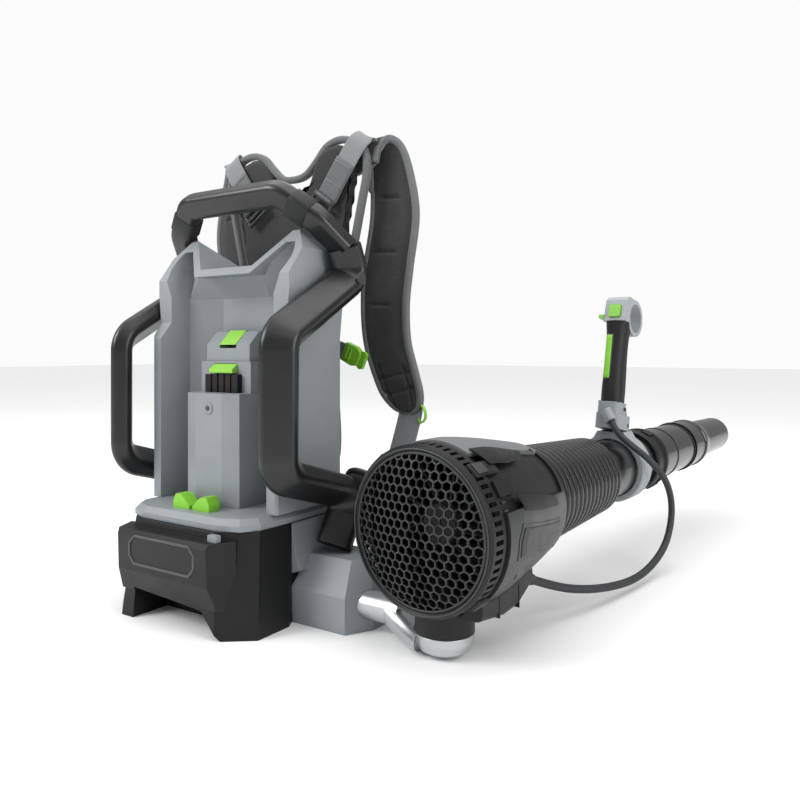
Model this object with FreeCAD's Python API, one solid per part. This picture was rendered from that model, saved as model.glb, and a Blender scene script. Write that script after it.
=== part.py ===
import FreeCAD, Part
import math
import os

# Backpack leaf blower, in millimetres.
# +X is the wearer's right, +Y is forward, +Z is up.
# The origin is the centre of the base's underside, on the ground.

V = FreeCAD.Vector
X_AXIS = V(1, 0, 0)
Y_AXIS = V(0, 1, 0)
Z_AXIS = V(0, 0, 1)

# ---------------------------------------------------------------- driving dimensions

# base and deck
BASE_FOOT_HALF = 124.0
BASE_TOP_HALF = 112.0
BASE_FRONT_Y = -124.0
BASE_BACK_Y = 96.0
BASE_HEIGHT = 122.0
BASE_WALL = 5.0
FRONT_PANEL_HALF = 80.0
FRONT_PANEL_PROUD = 9.0
BADGE_RECESS = 1.6
DECK_THICKNESS = 14.0
DECK_BEVEL = 7.0

# housing
HOUSING_HALF = 115.0
HOUSING_BACK_Y = 72.0
COLUMN_FRONT_Y = -52.0
COLUMN_INNER_X = 98.0
RECESS_Y = 12.0
COLUMN_TOP_Z = 353.0
FLARE_START_Z = 408.0
RIM_PEAK_Z = 492.0
RIM_HALF = 121.0
RIM_NOTCH_Z = 446.0
NOTCH_HALF = 48.0
LIP_WIDTH = 11.0

# battery dock
DOCK_HALF = 48.0
DOCK_FACET_HALF = 24.0
DOCK_FRONT_Y = -56.0
DOCK_SHOULDER_Y = -48.0
DOCK_LEDGE_Z = 281.0
DOCK_UPPER_Y = -26.0
DOCK_UPPER_TOP_Z = 322.0
COVER_HALF = 40.0
COVER_TOP_Z = 362.0

# carry frame: one flattened tube bent into a handle and two side guards
BAND_WIDTH = 46.0
BAND_THICKNESS = 27.0
BAND_CORNER = 9.0
HANDLE_WIDTH = 35.0
GUARD_X = 144.5
GUARD_FRONT_Y = -80.0
GUARD_LOW_Z = 190.0
GUARD_HIGH_Z = 353.0
HANDLE_TOP_Z = 537.0
HANDLE_HALF = 82.0

# swivel arm
ARM_Y = 6.0
ARM_Z = 31.0
ARM_RADIUS = 17.0
ARM_CLEARANCE = 0.05
ARM_BOX_RIGHT_X = 216.0
SWIVEL_X = 322.0
SWIVEL_Y = -4.0
COLLAR_RADIUS = 33.5
COLLAR_LOW_Z = 26.5
PIN_RADIUS = 12.0

# blower, measured along its own axis from the grille rim
BLOWER_ORIGIN = V(316.0, -50.0, 143.5)
BLOWER_YAW = 5.0
BLOWER_PITCH = 0.7
GRILLE_RADIUS = 86.0
GRILLE_RISE = 17.0
GRILLE_PITCH = 10.3
GRILLE_WEB = 2.0
INTAKE_RADIUS = 93.0
INTAKE_LENGTH = 26.0
HOUSING_END = 211.0
OUTLET_RADIUS = 66.0
SHELL_WALL = 3.0
FAN_RADIUS = 80.0
BELLOWS_LENGTH = 211.0
BELLOWS_RIBS = 14
TUBE_RADIUS = 45.0
TUBE_WALL = 2.5
BELLOWS_END_RADIUS = TUBE_RADIUS + 12
TUBE_END = 618.0
COUPLING_RADIUS = TUBE_RADIUS + 6
MID_TUBE_END = 800.0
NOZZLE_END = 1055.0
NOZZLE_RADIUS = 34.0
NOZZLE_BORE = 31.0
NOZZLE_MOUTH = 30.0
CLAMP_CENTRE = 524.0
CLAMP_WIDTH = 36.0
CLAMP_RADIUS = TUBE_RADIUS + 10

# control handle, measured up from the tube axis
HANDLE_FOOT = 494.0
HANDLE_LEAN = 12.6
BRACKET_LOW = CLAMP_RADIUS + 8
GRIP_LOW = BRACKET_LOW + 42
GRIP_HIGH = GRIP_LOW + 131
GRIP_WIDTH = 35.0
HEAD_HEIGHT = 42.0
LOOP_RADIUS = 30.0
LOOP_HOLE = 23.5
LOOP_Y = 23.0
LOOP_RISE = 13.0

# control cable
CABLE_RADIUS = 5.25

# harness
PAD_GAP = 0.6
BACK_PAD_HALF = 90.0
BACK_PAD_THICKNESS = 20.0
STRAP_WIDTH = 76.0
STRAP_THICKNESS = 16.0
WEBBING_THICKNESS = 2.4

# fits
MOVING_GAP = 0.35

DECK_TOP = BASE_HEIGHT + DECK_THICKNESS
BELLOWS_START = HOUSING_END
BELLOWS_END = BELLOWS_START + BELLOWS_LENGTH


# ---------------------------------------------------------------- helpers

def polygon(points):
    return Part.makePolygon(points + [points[0]])


def solid_from(points, direction):
    return Part.Face(polygon(points)).extrude(direction)


def prism_z(outline, low, high):
    return solid_from([V(x, y, low) for x, y in outline], V(0, 0, high - low))


def prism_x(outline, low, high):
    return solid_from([V(low, y, z) for y, z in outline], V(high - low, 0, 0))


def prism_y(outline, low, high):
    return solid_from([V(x, low, z) for x, z in outline], V(0, high - low, 0))


def loft_z(low_outline, low, high_outline, high):
    low_wire = polygon([V(x, y, low) for x, y in low_outline])
    high_wire = polygon([V(x, y, high) for x, y in high_outline])
    return Part.makeLoft([low_wire, high_wire], True, True)


def faceted_loft(low_outline, low, high_outline, high):
    """A loft whose sides are flat triangles; both outlines have the same number of points."""
    lower = [V(x, y, low) for x, y in low_outline]
    upper = [V(x, y, high) for x, y in high_outline]
    faces = [Part.Face(polygon(lower)), Part.Face(polygon(upper))]
    for index in range(len(lower)):
        onward = (index + 1) % len(lower)
        faces.append(Part.Face(polygon([lower[index], lower[onward], upper[index]])))
        faces.append(Part.Face(polygon([lower[onward], upper[onward], upper[index]])))
    return Part.makeSolid(Part.makeShell(faces))


def mirrored(half):
    """A closed outline from its +X half, listed from front to back."""
    return half + [(-x, y) for x, y in reversed(half)]


def box(low, high):
    size = high - low
    return Part.makeBox(size.x, size.y, size.z, low)


def cylinder(radius, start, direction, length):
    return Part.makeCylinder(radius, length, start, direction)


def turned(profile):
    """Revolve (station, radius) points about +Y."""
    face = Part.Face(polygon([V(radius, station, 0) for station, radius in profile]))
    return face.revolve(V(0, 0, 0), Y_AXIS, 360)


def fused(shapes):
    result = shapes[0].multiFuse(shapes[1:]) if len(shapes) > 1 else shapes[0]
    return result.removeSplitter()


def rounded(shape, radius, chosen):
    edges = [edge for edge in shape.Edges if chosen(edge)]
    return shape.makeFillet(radius, edges)


def is_along(edge, direction):
    if not isinstance(edge.Curve, Part.Line):
        return False
    return abs(abs(edge.tangentAt(edge.FirstParameter).dot(direction)) - 1) < 1e-4


def at_x(shape, mirror):
    return shape.mirror(V(0, 0, 0), X_AXIS) if mirror else shape


def tangent_path(points, radii):
    """Straight runs joined by tangent arcs, one radius at each inner point."""
    edges = []
    start = points[0]
    for index in range(1, len(points) - 1):
        corner = points[index]
        back = (points[index - 1] - corner).normalize()
        onward = (points[index + 1] - corner).normalize()
        turn = math.pi - back.getAngle(onward)
        setback = radii[index - 1] * math.tan(turn / 2)
        arc_start = corner + back * setback
        arc_end = corner + onward * setback
        inward = (back + onward).normalize()
        middle_distance = radii[index - 1] * (1 / math.cos(turn / 2) - 1)
        arc_middle = corner + inward * middle_distance
        if (arc_start - start).Length > 1e-4:
            edges.append(Part.LineSegment(start, arc_start).toShape())
        edges.append(Part.Arc(arc_start, arc_middle, arc_end).toShape())
        start = arc_end
    edges.append(Part.LineSegment(start, points[-1]).toShape())
    return Part.Wire(edges)


def largest_radii(points):
    radii = []
    for index in range(1, len(points) - 1):
        before = points[index] - points[index - 1]
        after = points[index + 1] - points[index]
        turn = before.getAngle(after)
        radii.append(0.45 * min(before.Length, after.Length) / math.tan(turn / 2))
    return radii


def slot_wire(centre, wide, thin, width, thickness):
    """A round-ended slot; wide and thin are the directions of its width and thickness."""
    half_flat = (width - thickness) / 2
    radius = thickness / 2
    ends = [centre + wide * half_flat, centre - wide * half_flat]
    top_start = ends[0] + thin * radius
    top_end = ends[1] + thin * radius
    low_start = ends[1] - thin * radius
    low_end = ends[0] - thin * radius
    edges = [
        Part.LineSegment(top_start, top_end).toShape(),
        Part.Arc(top_end, ends[1] - wide * radius, low_start).toShape(),
        Part.LineSegment(low_start, low_end).toShape(),
        Part.Arc(low_end, ends[0] + wide * radius, top_start).toShape(),
    ]
    return Part.Wire(edges)


def rounded_section(centre, wide, thin, width, thickness, corner):
    """A rectangle with round corners; wide and thin are the directions of its sides."""
    flat = width / 2 - corner
    short = thickness / 2 - corner
    edges = []
    corners = [(1, 1), (-1, 1), (-1, -1), (1, -1)]
    for index, (across, deep) in enumerate(corners):
        middle = centre + wide * (across * flat) + thin * (deep * short)
        out_wide = wide * (across * corner)
        out_thin = thin * (deep * corner)
        first, last = (out_wide, out_thin) if across == deep else (out_thin, out_wide)
        half_way = (out_wide + out_thin) * math.sqrt(0.5)
        edges.append(Part.Arc(middle + first, middle + half_way, middle + last).toShape())
        onward_across, onward_deep = corners[(index + 1) % 4]
        onward = centre + wide * (onward_across * flat) + thin * (onward_deep * short)
        onward_first = wide * (onward_across * corner)
        if onward_across != onward_deep:
            onward_first = thin * (onward_deep * corner)
        edges.append(Part.LineSegment(middle + last, onward + onward_first).toShape())
    return Part.Wire(edges)


def band(points, radii, normal, twist, width):
    """A flattened tube along a planar path; twist turns its broad face out of the path's plane."""
    path = tangent_path(points, radii)
    along = (points[1] - points[0]).normalize()
    side = normal.cross(along)
    wide = normal * math.cos(twist) + side * math.sin(twist)
    thin = side * math.cos(twist) - normal * math.sin(twist)
    section = rounded_section(points[0], wide, thin, width, BAND_THICKNESS, BAND_CORNER)
    return path.makePipeShell([section], True, False)


def smooth_strip(left, right, low, high):
    """A strip between two smooth edges drawn in the XZ plane, from y = low to y = high."""
    left_curve = Part.BSplineCurve()
    left_curve.interpolate([V(x, low, z) for x, z in left])
    right_curve = Part.BSplineCurve()
    right_curve.interpolate([V(x, low, z) for x, z in right])
    top = Part.LineSegment(left_curve.StartPoint, right_curve.StartPoint)
    bottom = Part.LineSegment(left_curve.EndPoint, right_curve.EndPoint)
    wire = Part.Wire(Part.__sortEdges__([
        left_curve.toShape(), bottom.toShape(), right_curve.toShape(), top.toShape()]))
    return Part.Face(wire).extrude(V(0, high - low, 0))


def flat_strap(start, end, width, across):
    """Straight webbing between two points; across is the direction of its width."""
    along = (end - start).normalize()
    across = (across - along * across.dot(along)).normalize()
    thin = along.cross(across)
    corners = []
    for sideways, deep in ((-1, -1), (1, -1), (1, 1), (-1, 1)):
        offset = across * (sideways * width / 2) + thin * (deep * WEBBING_THICKNESS / 2)
        corners.append(start + offset)
    return solid_from(corners, end - start)


def on_blower(shape):
    """Turn a piece built along +Y onto the blower's own axis."""
    placed = shape.copy()
    placed.rotate(V(0, 0, 0), X_AXIS, BLOWER_PITCH)
    placed.rotate(V(0, 0, 0), Z_AXIS, -BLOWER_YAW)
    placed.translate(BLOWER_ORIGIN)
    return placed


def on_handle(shape):
    """Lean a piece of the control handle forward and stand it on the tube clamp."""
    placed = shape.copy()
    placed.rotate(V(0, 0, 0), X_AXIS, -HANDLE_LEAN)
    placed.translate(V(0, HANDLE_FOOT, 0))
    return on_blower(placed)


# ---------------------------------------------------------------- base

def base_outlines():
    foot = mirrored([(84, BASE_FRONT_Y), (BASE_FOOT_HALF, -93), (BASE_FOOT_HALF, -40),
                     (116, -26), (116, BASE_BACK_Y)])
    top = mirrored([(72, -112), (BASE_TOP_HALF, -78), (BASE_TOP_HALF, -30),
                    (BASE_TOP_HALF, -20), (BASE_TOP_HALF, 84)])
    return foot, top


def base_block():
    foot, top = base_outlines()
    return loft_z(foot, 0, top, BASE_HEIGHT)


def front_panel():
    half = FRONT_PANEL_HALF
    front = BASE_FRONT_Y - FRONT_PANEL_PROUD
    plan = prism_z([(-half, front), (half, front), (half + 16, -100), (-half - 16, -100)], 30, 113)
    side = prism_x([(-100, 30), (-121, 34), (front + 2, 62), (front, 106), (front + 3, 113), (-100, 113)],
                   -half - 20, half + 20)
    return plan.common(side)


def arch():
    """The opening under the front edge, between the two front feet."""
    return prism_y([(-62, -1), (-62, 38), (60, 30), (66, 24), (91, -1)], BASE_FRONT_Y - 20, -70)


def make_base_shell():
    outside = fused([base_block(), front_panel()])
    foot, top = base_outlines()
    shrink = 1 - BASE_WALL / BASE_TOP_HALF
    inner_top = [(x * shrink, y * shrink) for x, y in top]
    inner = prism_z(inner_top, 45, BASE_HEIGHT + 1)
    outside = outside.cut(arch())
    outside = outside.cut(inner)
    badge = badge_plate(1.0)
    outside = outside.cut(badge)
    outside = outside.cut(arm_box_block())
    return outside


def badge_plate(extra):
    """The space of the octagonal plate; extra is how far it runs past the panel's front."""
    half = 60.0
    low, high = 70.0, 108.0
    corner = 10.0
    front = BASE_FRONT_Y - FRONT_PANEL_PROUD
    outline = [(-half + corner, low), (half - corner, low), (half, low + corner), (half, high - corner),
               (half - corner, high), (-half + corner, high), (-half, high - corner), (-half, low + corner)]
    return prism_y(outline, front - extra, front + 5)


def make_base_badge():
    """A plain octagonal plate, set a little below the front panel's face."""
    return badge_plate(-BADGE_RECESS).common(front_panel())


def make_deck():
    outline = mirrored([(67, -106), (96, -95), (BASE_TOP_HALF - 2, -74), (BASE_TOP_HALF, -25),
                        (BASE_TOP_HALF, 88)])
    deck = prism_z(outline, BASE_HEIGHT, DECK_TOP)
    top_edges = [edge for edge in deck.Edges
                 if abs(edge.BoundBox.ZMin - DECK_TOP) < 1e-6 and edge.BoundBox.YMin < 80]
    deck = deck.makeChamfer(DECK_BEVEL, top_edges)
    for mirror in (False, True):
        deck = deck.cut(at_x(deck_latch_pocket(), mirror))
    return deck


DECK_LATCH_Y = -76.0
DECK_LATCH_TRAVEL = 5.0


def deck_latch():
    """A green thumb piece: a wedge that is tall outside and falls to the middle."""
    profile = [(3, DECK_TOP - 9), (33, DECK_TOP - 9), (33, DECK_TOP + 8), (28, DECK_TOP + 18),
               (17, DECK_TOP + 17), (3, DECK_TOP + 5)]
    wedge = prism_y(profile, DECK_LATCH_Y - 9, DECK_LATCH_Y + 9)
    return rounded(wedge, 1.5, lambda edge: is_along(edge, Y_AXIS) and edge.BoundBox.ZMin > DECK_TOP)


def deck_latch_pocket():
    gap = MOVING_GAP
    return box(V(3 - gap, DECK_LATCH_Y - 9 - gap, DECK_TOP - 10 - DECK_LATCH_TRAVEL + 1),
               V(33 + gap, DECK_LATCH_Y + 9 + gap, DECK_TOP + 30))


def make_rail_block():
    block = box(V(70, -121, 110), V(84, -113, 121))
    return block.cut(base_block()).cut(front_panel())


# ---------------------------------------------------------------- housing

def rim_opening():
    """The space inside the rim's lip, seen from the front."""
    slope = (RIM_PEAK_Z - RIM_NOTCH_Z) / 41
    low = RIM_NOTCH_Z - LIP_WIDTH
    high = RIM_PEAK_Z - 1.5 * LIP_WIDTH
    bend = NOTCH_HALF + 0.3 * LIP_WIDTH
    half = [(0, low), (bend, low), (bend + (high - low) / slope, high), (RIM_HALF - 1.6 * LIP_WIDTH, high),
            (RIM_HALF - LIP_WIDTH, high - 14), (RIM_HALF - LIP_WIDTH, FLARE_START_Z + 34),
            (COLUMN_INNER_X, FLARE_START_Z - 6), (COLUMN_INNER_X, DECK_TOP - 2)]
    return prism_y(mirrored(half)[1:-1], COLUMN_FRONT_Y - 30, HOUSING_BACK_Y)


def recess():
    """The space the battery drops into; above the flare line its middle leans forward and its corners open."""
    low = mirrored([(COLUMN_INNER_X, COLUMN_FRONT_Y - 20), (COLUMN_INNER_X, COLUMN_FRONT_Y), (90, -8),
                    (44, RECESS_Y)])
    high = mirrored([(RIM_HALF - LIP_WIDTH, COLUMN_FRONT_Y - 20), (RIM_HALF - LIP_WIDTH, -20),
                     (RIM_HALF - 18, 14), (NOTCH_HALF + 2, -20)])
    flare_end = FLARE_START_Z + 44
    lower = prism_z(low, DECK_TOP - 1, FLARE_START_Z)
    flare = faceted_loft(low, FLARE_START_Z, high, flare_end)
    upper = prism_z(high, flare_end, RIM_PEAK_Z + 8)
    return [space.common(rim_opening()) for space in (lower, flare, upper)]


def housing_outside():
    side = [(COLUMN_FRONT_Y, DECK_TOP), (COLUMN_FRONT_Y, COLUMN_TOP_Z), (-36, COLUMN_TOP_Z + 22),
            (-36, 433), (7, RIM_PEAK_Z), (58, 458), (HOUSING_BACK_Y, 405), (HOUSING_BACK_Y, DECK_TOP)]
    block = prism_x(side, -RIM_HALF, RIM_HALF)
    trim = mirrored([(HOUSING_HALF - 4, COLUMN_FRONT_Y - 1), (HOUSING_HALF, COLUMN_FRONT_Y + 3),
                     (HOUSING_HALF, HOUSING_BACK_Y + 5)])
    low = prism_z(trim, DECK_TOP - 1, COLUMN_TOP_Z)
    wide = mirrored([(RIM_HALF - 4, COLUMN_FRONT_Y - 1), (RIM_HALF, COLUMN_FRONT_Y + 3),
                     (RIM_HALF, HOUSING_BACK_Y + 5)])
    middle = loft_z(trim, COLUMN_TOP_Z, wide, COLUMN_TOP_Z + 60)
    top = prism_z(wide, COLUMN_TOP_Z + 60, RIM_PEAK_Z + 20)
    limit = fused([low, middle, top])
    return block.common(limit)


def rim_notch():
    """The V between the two rim peaks, where the back pad shows."""
    return prism_y([(-RIM_HALF + 14, RIM_PEAK_Z + 20), (-NOTCH_HALF, RIM_NOTCH_Z), (NOTCH_HALF, RIM_NOTCH_Z),
                    (RIM_HALF - 14, RIM_PEAK_Z + 20)], -80, HOUSING_BACK_Y + 20)


def rim_corner():
    """Takes the outer corner off a rim peak, clear of the carry handle's leg."""
    return prism_y([(RIM_HALF - 24, RIM_PEAK_Z + 5), (RIM_HALF + 5, RIM_PEAK_Z - 32),
                    (RIM_HALF + 5, RIM_PEAK_Z + 5)], -80, HOUSING_BACK_Y + 20)


def make_housing():
    shell = housing_outside()
    for space in recess():
        shell = shell.cut(space)
    shell = shell.cut(rim_notch()).cut(rim_corner()).cut(at_x(rim_corner(), True))
    cavity_plan = mirrored([(HOUSING_HALF - 4, 18), (HOUSING_HALF - 4, HOUSING_BACK_Y + 1)])
    cavity = prism_z(cavity_plan, DECK_TOP - 1, 400)
    return shell.cut(cavity)


def make_back_plate():
    """The panel that closes the housing towards the wearer and carries the harness."""
    half = HOUSING_HALF - 4 - 0.1
    outline = [(-half, DECK_TOP + 0.2), (half, DECK_TOP + 0.2), (half, 399.8), (-half, 399.8)]
    plate = prism_y(outline, HOUSING_BACK_Y - 8, HOUSING_BACK_Y)
    for height in (170, 210, 250, 290, 330, 370):
        plate = plate.cut(box(V(-60, HOUSING_BACK_Y - 9, height), V(60, HOUSING_BACK_Y + 1, height + 14)))
    return plate


# ---------------------------------------------------------------- battery dock

def make_dock_tower():
    plan = mirrored([(DOCK_FACET_HALF, DOCK_FRONT_Y), (DOCK_HALF, DOCK_SHOULDER_Y), (DOCK_HALF, 9.9)])
    tower = prism_z(plan, DECK_TOP, DOCK_LEDGE_Z)
    upper = box(V(-DOCK_HALF + 2, DOCK_UPPER_Y, DOCK_LEDGE_Z), V(DOCK_HALF - 2, 9.9, DOCK_UPPER_TOP_Z))
    tower = fused([tower, upper])
    boss = cylinder(8, V(0, DOCK_FRONT_Y - 1.2, 262), Y_AXIS, 3)
    screw_hole = cylinder(2.2, V(0, DOCK_FRONT_Y - 2, 262), Y_AXIS, 9)
    tower = fused([tower, boss]).cut(screw_hole)
    tower = tower.cut(terminal_space())
    tower = tower.cut(box(V(-DOCK_HALF + 8, -20, DECK_TOP + 4), V(DOCK_HALF - 8, 5, DOCK_LEDGE_Z - 26)))
    return tower.cut(battery_latch_space())


TERMINAL_HALF = 30.0


def terminal_space():
    return box(V(-TERMINAL_HALF, DOCK_UPPER_Y - 8, DOCK_LEDGE_Z - 20),
               V(TERMINAL_HALF, DOCK_UPPER_Y + 14, DOCK_LEDGE_Z + 24))


def make_terminal_block():
    block = terminal_space().cut(bus_bar())
    for index in range(4):
        block = block.cut(blade_slot(index, 3.0))
    return block


def blade_slot(index, width):
    centre = -TERMINAL_HALF + 12 + index * 12
    return box(V(centre - width / 2, DOCK_UPPER_Y - 9, DOCK_LEDGE_Z - 4),
               V(centre + width / 2, DOCK_UPPER_Y + 8, DOCK_LEDGE_Z + 25))


def bus_bar():
    """The strip at the back of the block that the contact blades stand on."""
    return box(V(-TERMINAL_HALF + 6, DOCK_UPPER_Y + 8, DOCK_LEDGE_Z - 4),
               V(TERMINAL_HALF - 6, DOCK_UPPER_Y + 10, DOCK_LEDGE_Z + 4))


def make_terminal_blades():
    reach = box(V(-TERMINAL_HALF, DOCK_UPPER_Y - 6, DOCK_LEDGE_Z - 4),
                V(TERMINAL_HALF, DOCK_UPPER_Y + 8, DOCK_LEDGE_Z + 22))
    blades = [blade_slot(index, 3.0).common(reach) for index in range(4)]
    return fused([bus_bar()] + blades)


BATTERY_LATCH_HALF = 21.5
BATTERY_LATCH_TRAVEL = 5.0
LATCH_LOW_Z = DOCK_LEDGE_Z + 26


def battery_latch():
    """The hook that the battery snaps over: a ledge with a ramp on top."""
    profile = [(DOCK_UPPER_Y - 9, LATCH_LOW_Z), (DOCK_UPPER_Y + 10, LATCH_LOW_Z),
               (DOCK_UPPER_Y + 10, LATCH_LOW_Z + 12), (DOCK_UPPER_Y + 1, LATCH_LOW_Z + 12),
               (DOCK_UPPER_Y - 9, LATCH_LOW_Z + 5)]
    return prism_x(profile, -BATTERY_LATCH_HALF, BATTERY_LATCH_HALF)


def battery_latch_space():
    gap = MOVING_GAP
    return box(V(-BATTERY_LATCH_HALF - gap, DOCK_UPPER_Y - 20, LATCH_LOW_Z - gap),
               V(BATTERY_LATCH_HALF + gap, DOCK_UPPER_Y + 10 + BATTERY_LATCH_TRAVEL + gap,
                 LATCH_LOW_Z + 12 + gap))


def dock_cover_block():
    profile = [(DOCK_UPPER_Y + 4, DOCK_UPPER_TOP_Z), (DOCK_UPPER_Y + 4, COVER_TOP_Z - 18),
               (-4, COVER_TOP_Z), (9.9, COVER_TOP_Z), (9.9, DOCK_UPPER_TOP_Z)]
    return prism_x(profile, -COVER_HALF, COVER_HALF)


BUTTON_HALF = 15.0
BUTTON_TRAVEL = 4.0


def release_button():
    profile = [(DOCK_UPPER_Y + 3, COVER_TOP_Z - 18), (-3, COVER_TOP_Z + 1.5), (0, COVER_TOP_Z + 1.5),
               (0, COVER_TOP_Z - 18)]
    return prism_x(profile, -BUTTON_HALF, BUTTON_HALF)


def release_button_space():
    gap = MOVING_GAP
    return box(V(-BUTTON_HALF - gap, DOCK_UPPER_Y - 5, COVER_TOP_Z - 18 - BUTTON_TRAVEL - gap),
               V(BUTTON_HALF + gap, 0 + gap, COVER_TOP_Z + 5))


def make_dock_cover():
    return dock_cover_block().cut(release_button_space())


# ---------------------------------------------------------------- carry frame

SHOULDER = V(GUARD_X, 59, 434)
FRAME_FOOT = V(GUARD_X, 22, 88)


def make_guard():
    points = [V(GUARD_X, 42, 470), SHOULDER, V(GUARD_X, GUARD_FRONT_Y, GUARD_HIGH_Z),
              V(GUARD_X, GUARD_FRONT_Y, GUARD_LOW_Z), V(GUARD_X, 56, 150), FRAME_FOOT]
    return band(points, [18, 30, 30, 24], X_AXIS, math.radians(38), BAND_WIDTH)


def make_carry_handle():
    """The top bar between the two shoulders, in one tilted plane."""
    slope = V(0, -0.566, 0.824)
    top_y = -12.0
    corner = V(HANDLE_HALF, top_y, HANDLE_TOP_Z)
    low = V(GUARD_X + 1, 42, 470) - slope * 3
    middle = corner - slope * 42 + V(44, 0, 0)
    half = [low, middle, corner]
    points = half + [V(-p.x, p.y, p.z) for p in reversed(half)]
    normal = X_AXIS.cross(slope)
    bar = band(points, [28, 24, 24, 28], normal, math.radians(90), HANDLE_WIDTH)
    right_guard = make_guard()
    left_guard = right_guard.mirror(V(0, 0, 0), X_AXIS)
    return bar.cut(right_guard).cut(left_guard)


# ---------------------------------------------------------------- swivel arm

def arm_box_block():
    plan = [(114, -25), (198, -25), (ARM_BOX_RIGHT_X, 8), (ARM_BOX_RIGHT_X, 62), (114, 62)]
    top = [(120, 4), (186, 4), (200, 20), (200, 62), (120, 62)]
    return fused([prism_z(plan, 0, 43), loft_z(plan, 43, top, 80)])


def arm_neck():
    """The panel that carries the arm box up to the deck."""
    return prism_y([(114, 60), (126, 64), (118, 96), (114, BASE_HEIGHT)], -24, 62)


def make_arm_box():
    body = fused([arm_box_block(), arm_neck().cut(base_block())])
    bore = cylinder(ARM_RADIUS + ARM_CLEARANCE, V(150, ARM_Y, ARM_Z), X_AXIS, 80)
    return body.cut(bore).cut(make_guard())


def make_swivel_arm():
    tube = cylinder(ARM_RADIUS, V(151, ARM_Y, ARM_Z), X_AXIS, 110)
    neck = Part.makeLoft([
        slot_wire(V(246, ARM_Y, ARM_Z - 2), Y_AXIS, Z_AXIS, 38, 34),
        slot_wire(V(276, SWIVEL_Y + 6, 18), Y_AXIS, Z_AXIS, 50, 28),
        slot_wire(V(300, SWIVEL_Y, 15), Y_AXIS, Z_AXIS, 62, 22)], True, False)
    cup_profile = [V(0, 0, 3.5), V(22, 0, 3.5), V(29, 0, 8), V(32.5, 0, 16), V(33.5, 0, 26), V(0, 0, 26)]
    cup = Part.Face(polygon(cup_profile)).revolve(V(0, 0, 0), Z_AXIS, 360)
    cup.translate(V(SWIVEL_X, SWIVEL_Y, 0))
    pin = cylinder(PIN_RADIUS, V(SWIVEL_X, SWIVEL_Y, 20), Z_AXIS, 26)
    neck = neck.cut(cylinder(COLLAR_RADIUS + 1, V(SWIVEL_X, SWIVEL_Y, COLLAR_LOW_Z - 0.5), Z_AXIS, 30))
    return fused([tube, neck, cup, pin])


def make_swivel_collar():
    collar = cylinder(COLLAR_RADIUS, V(SWIVEL_X, SWIVEL_Y, COLLAR_LOW_Z), Z_AXIS, 40)
    collar = collar.cut(cylinder(PIN_RADIUS + ARM_CLEARANCE, V(SWIVEL_X, SWIVEL_Y, 20), Z_AXIS, 27))
    body = on_blower(cylinder(INTAKE_RADIUS + 0.6, V(0, -30, 0), Y_AXIS, 200))
    return collar.cut(body)


# ---------------------------------------------------------------- blower

def make_intake_grille():
    """A domed guard with six-sided openings."""
    pitch = GRILLE_PITCH
    web = GRILLE_WEB
    sphere_radius = (GRILLE_RADIUS ** 2 + GRILLE_RISE ** 2) / (2 * GRILLE_RISE)
    centre = V(0, sphere_radius - GRILLE_RISE, 0)
    outer = Part.makeSphere(sphere_radius, centre)
    inner = Part.makeSphere(sphere_radius - 3, centre)
    barrel = cylinder(GRILLE_RADIUS - 0.05, V(0, -GRILLE_RISE - 1, 0), Y_AXIS, GRILLE_RISE + 1)
    dome = outer.cut(inner).common(barrel)
    cell = (pitch - web) / math.sqrt(3)
    holes = []
    rows = int(GRILLE_RADIUS / (pitch * 0.866)) + 1
    for row in range(-rows, rows + 1):
        for column in range(-rows, rows + 1):
            x = (column + 0.5 * (row % 2)) * pitch
            z = row * pitch * math.sqrt(3) / 2
            if math.hypot(x, z) > GRILLE_RADIUS - 8:
                continue
            corners = []
            for step in range(6):
                angle = math.radians(60 * step + 30)
                corners.append((x + cell * math.cos(angle), z + cell * math.sin(angle)))
            holes.append(prism_y(corners, -GRILLE_RISE - 2, 8))
    return dome.cut(Part.makeCompound(holes))


def make_intake_ring():
    """The slotted rim that the grille clips into."""
    ring = turned([(0, GRILLE_RADIUS + 0.05), (-2, INTAKE_RADIUS - 3), (2, INTAKE_RADIUS),
                   (INTAKE_LENGTH, INTAKE_RADIUS), (INTAKE_LENGTH, GRILLE_RADIUS + 0.05)])
    slots = []
    count = 60
    for index in range(count):
        slot = box(V(GRILLE_RADIUS - 2, 6, -2.4), V(INTAKE_RADIUS + 4, INTAKE_LENGTH - 6, 2.4))
        slot.rotate(V(0, 0, 0), Y_AXIS, index * 360 / count)
        slots.append(slot)
    return ring.cut(Part.makeCompound(slots))


def housing_radius(station):
    """Outside radius of the fan housing, falling from the intake to the bellows."""
    if station < 60:
        return 89.0
    share = (station - 60) / (HOUSING_END - 60)
    return 89.0 - (89.0 - OUTLET_RADIUS) * share ** 1.2


def housing_stations(start, end):
    """Stations along the fan housing, close enough together for its curve."""
    count = 6
    return [start] + [60 + (end - 60) * step / count for step in range(count + 1)]


def make_fan_housing():
    stations = housing_stations(INTAKE_LENGTH, HOUSING_END - 12)
    outside = [(s, housing_radius(s)) for s in stations]
    outside += [(HOUSING_END - 12, OUTLET_RADIUS + 5), (HOUSING_END, OUTLET_RADIUS + 3)]
    inside = [(HOUSING_END, OUTLET_RADIUS - 4)]
    inside += [(s, housing_radius(s) - SHELL_WALL) for s in reversed(stations)]
    inside[-1] = (INTAKE_LENGTH, GRILLE_RADIUS)
    shell = turned(outside + inside)
    clips = []
    for angle in (32, 148, 212, 300):
        clip = box(V(88, INTAKE_LENGTH + 0.5, -9), V(96, INTAKE_LENGTH + 30, 9))
        clip.rotate(V(0, 0, 0), Y_AXIS, -angle)
        clips.append(clip)
    return fused([shell] + clips)


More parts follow.
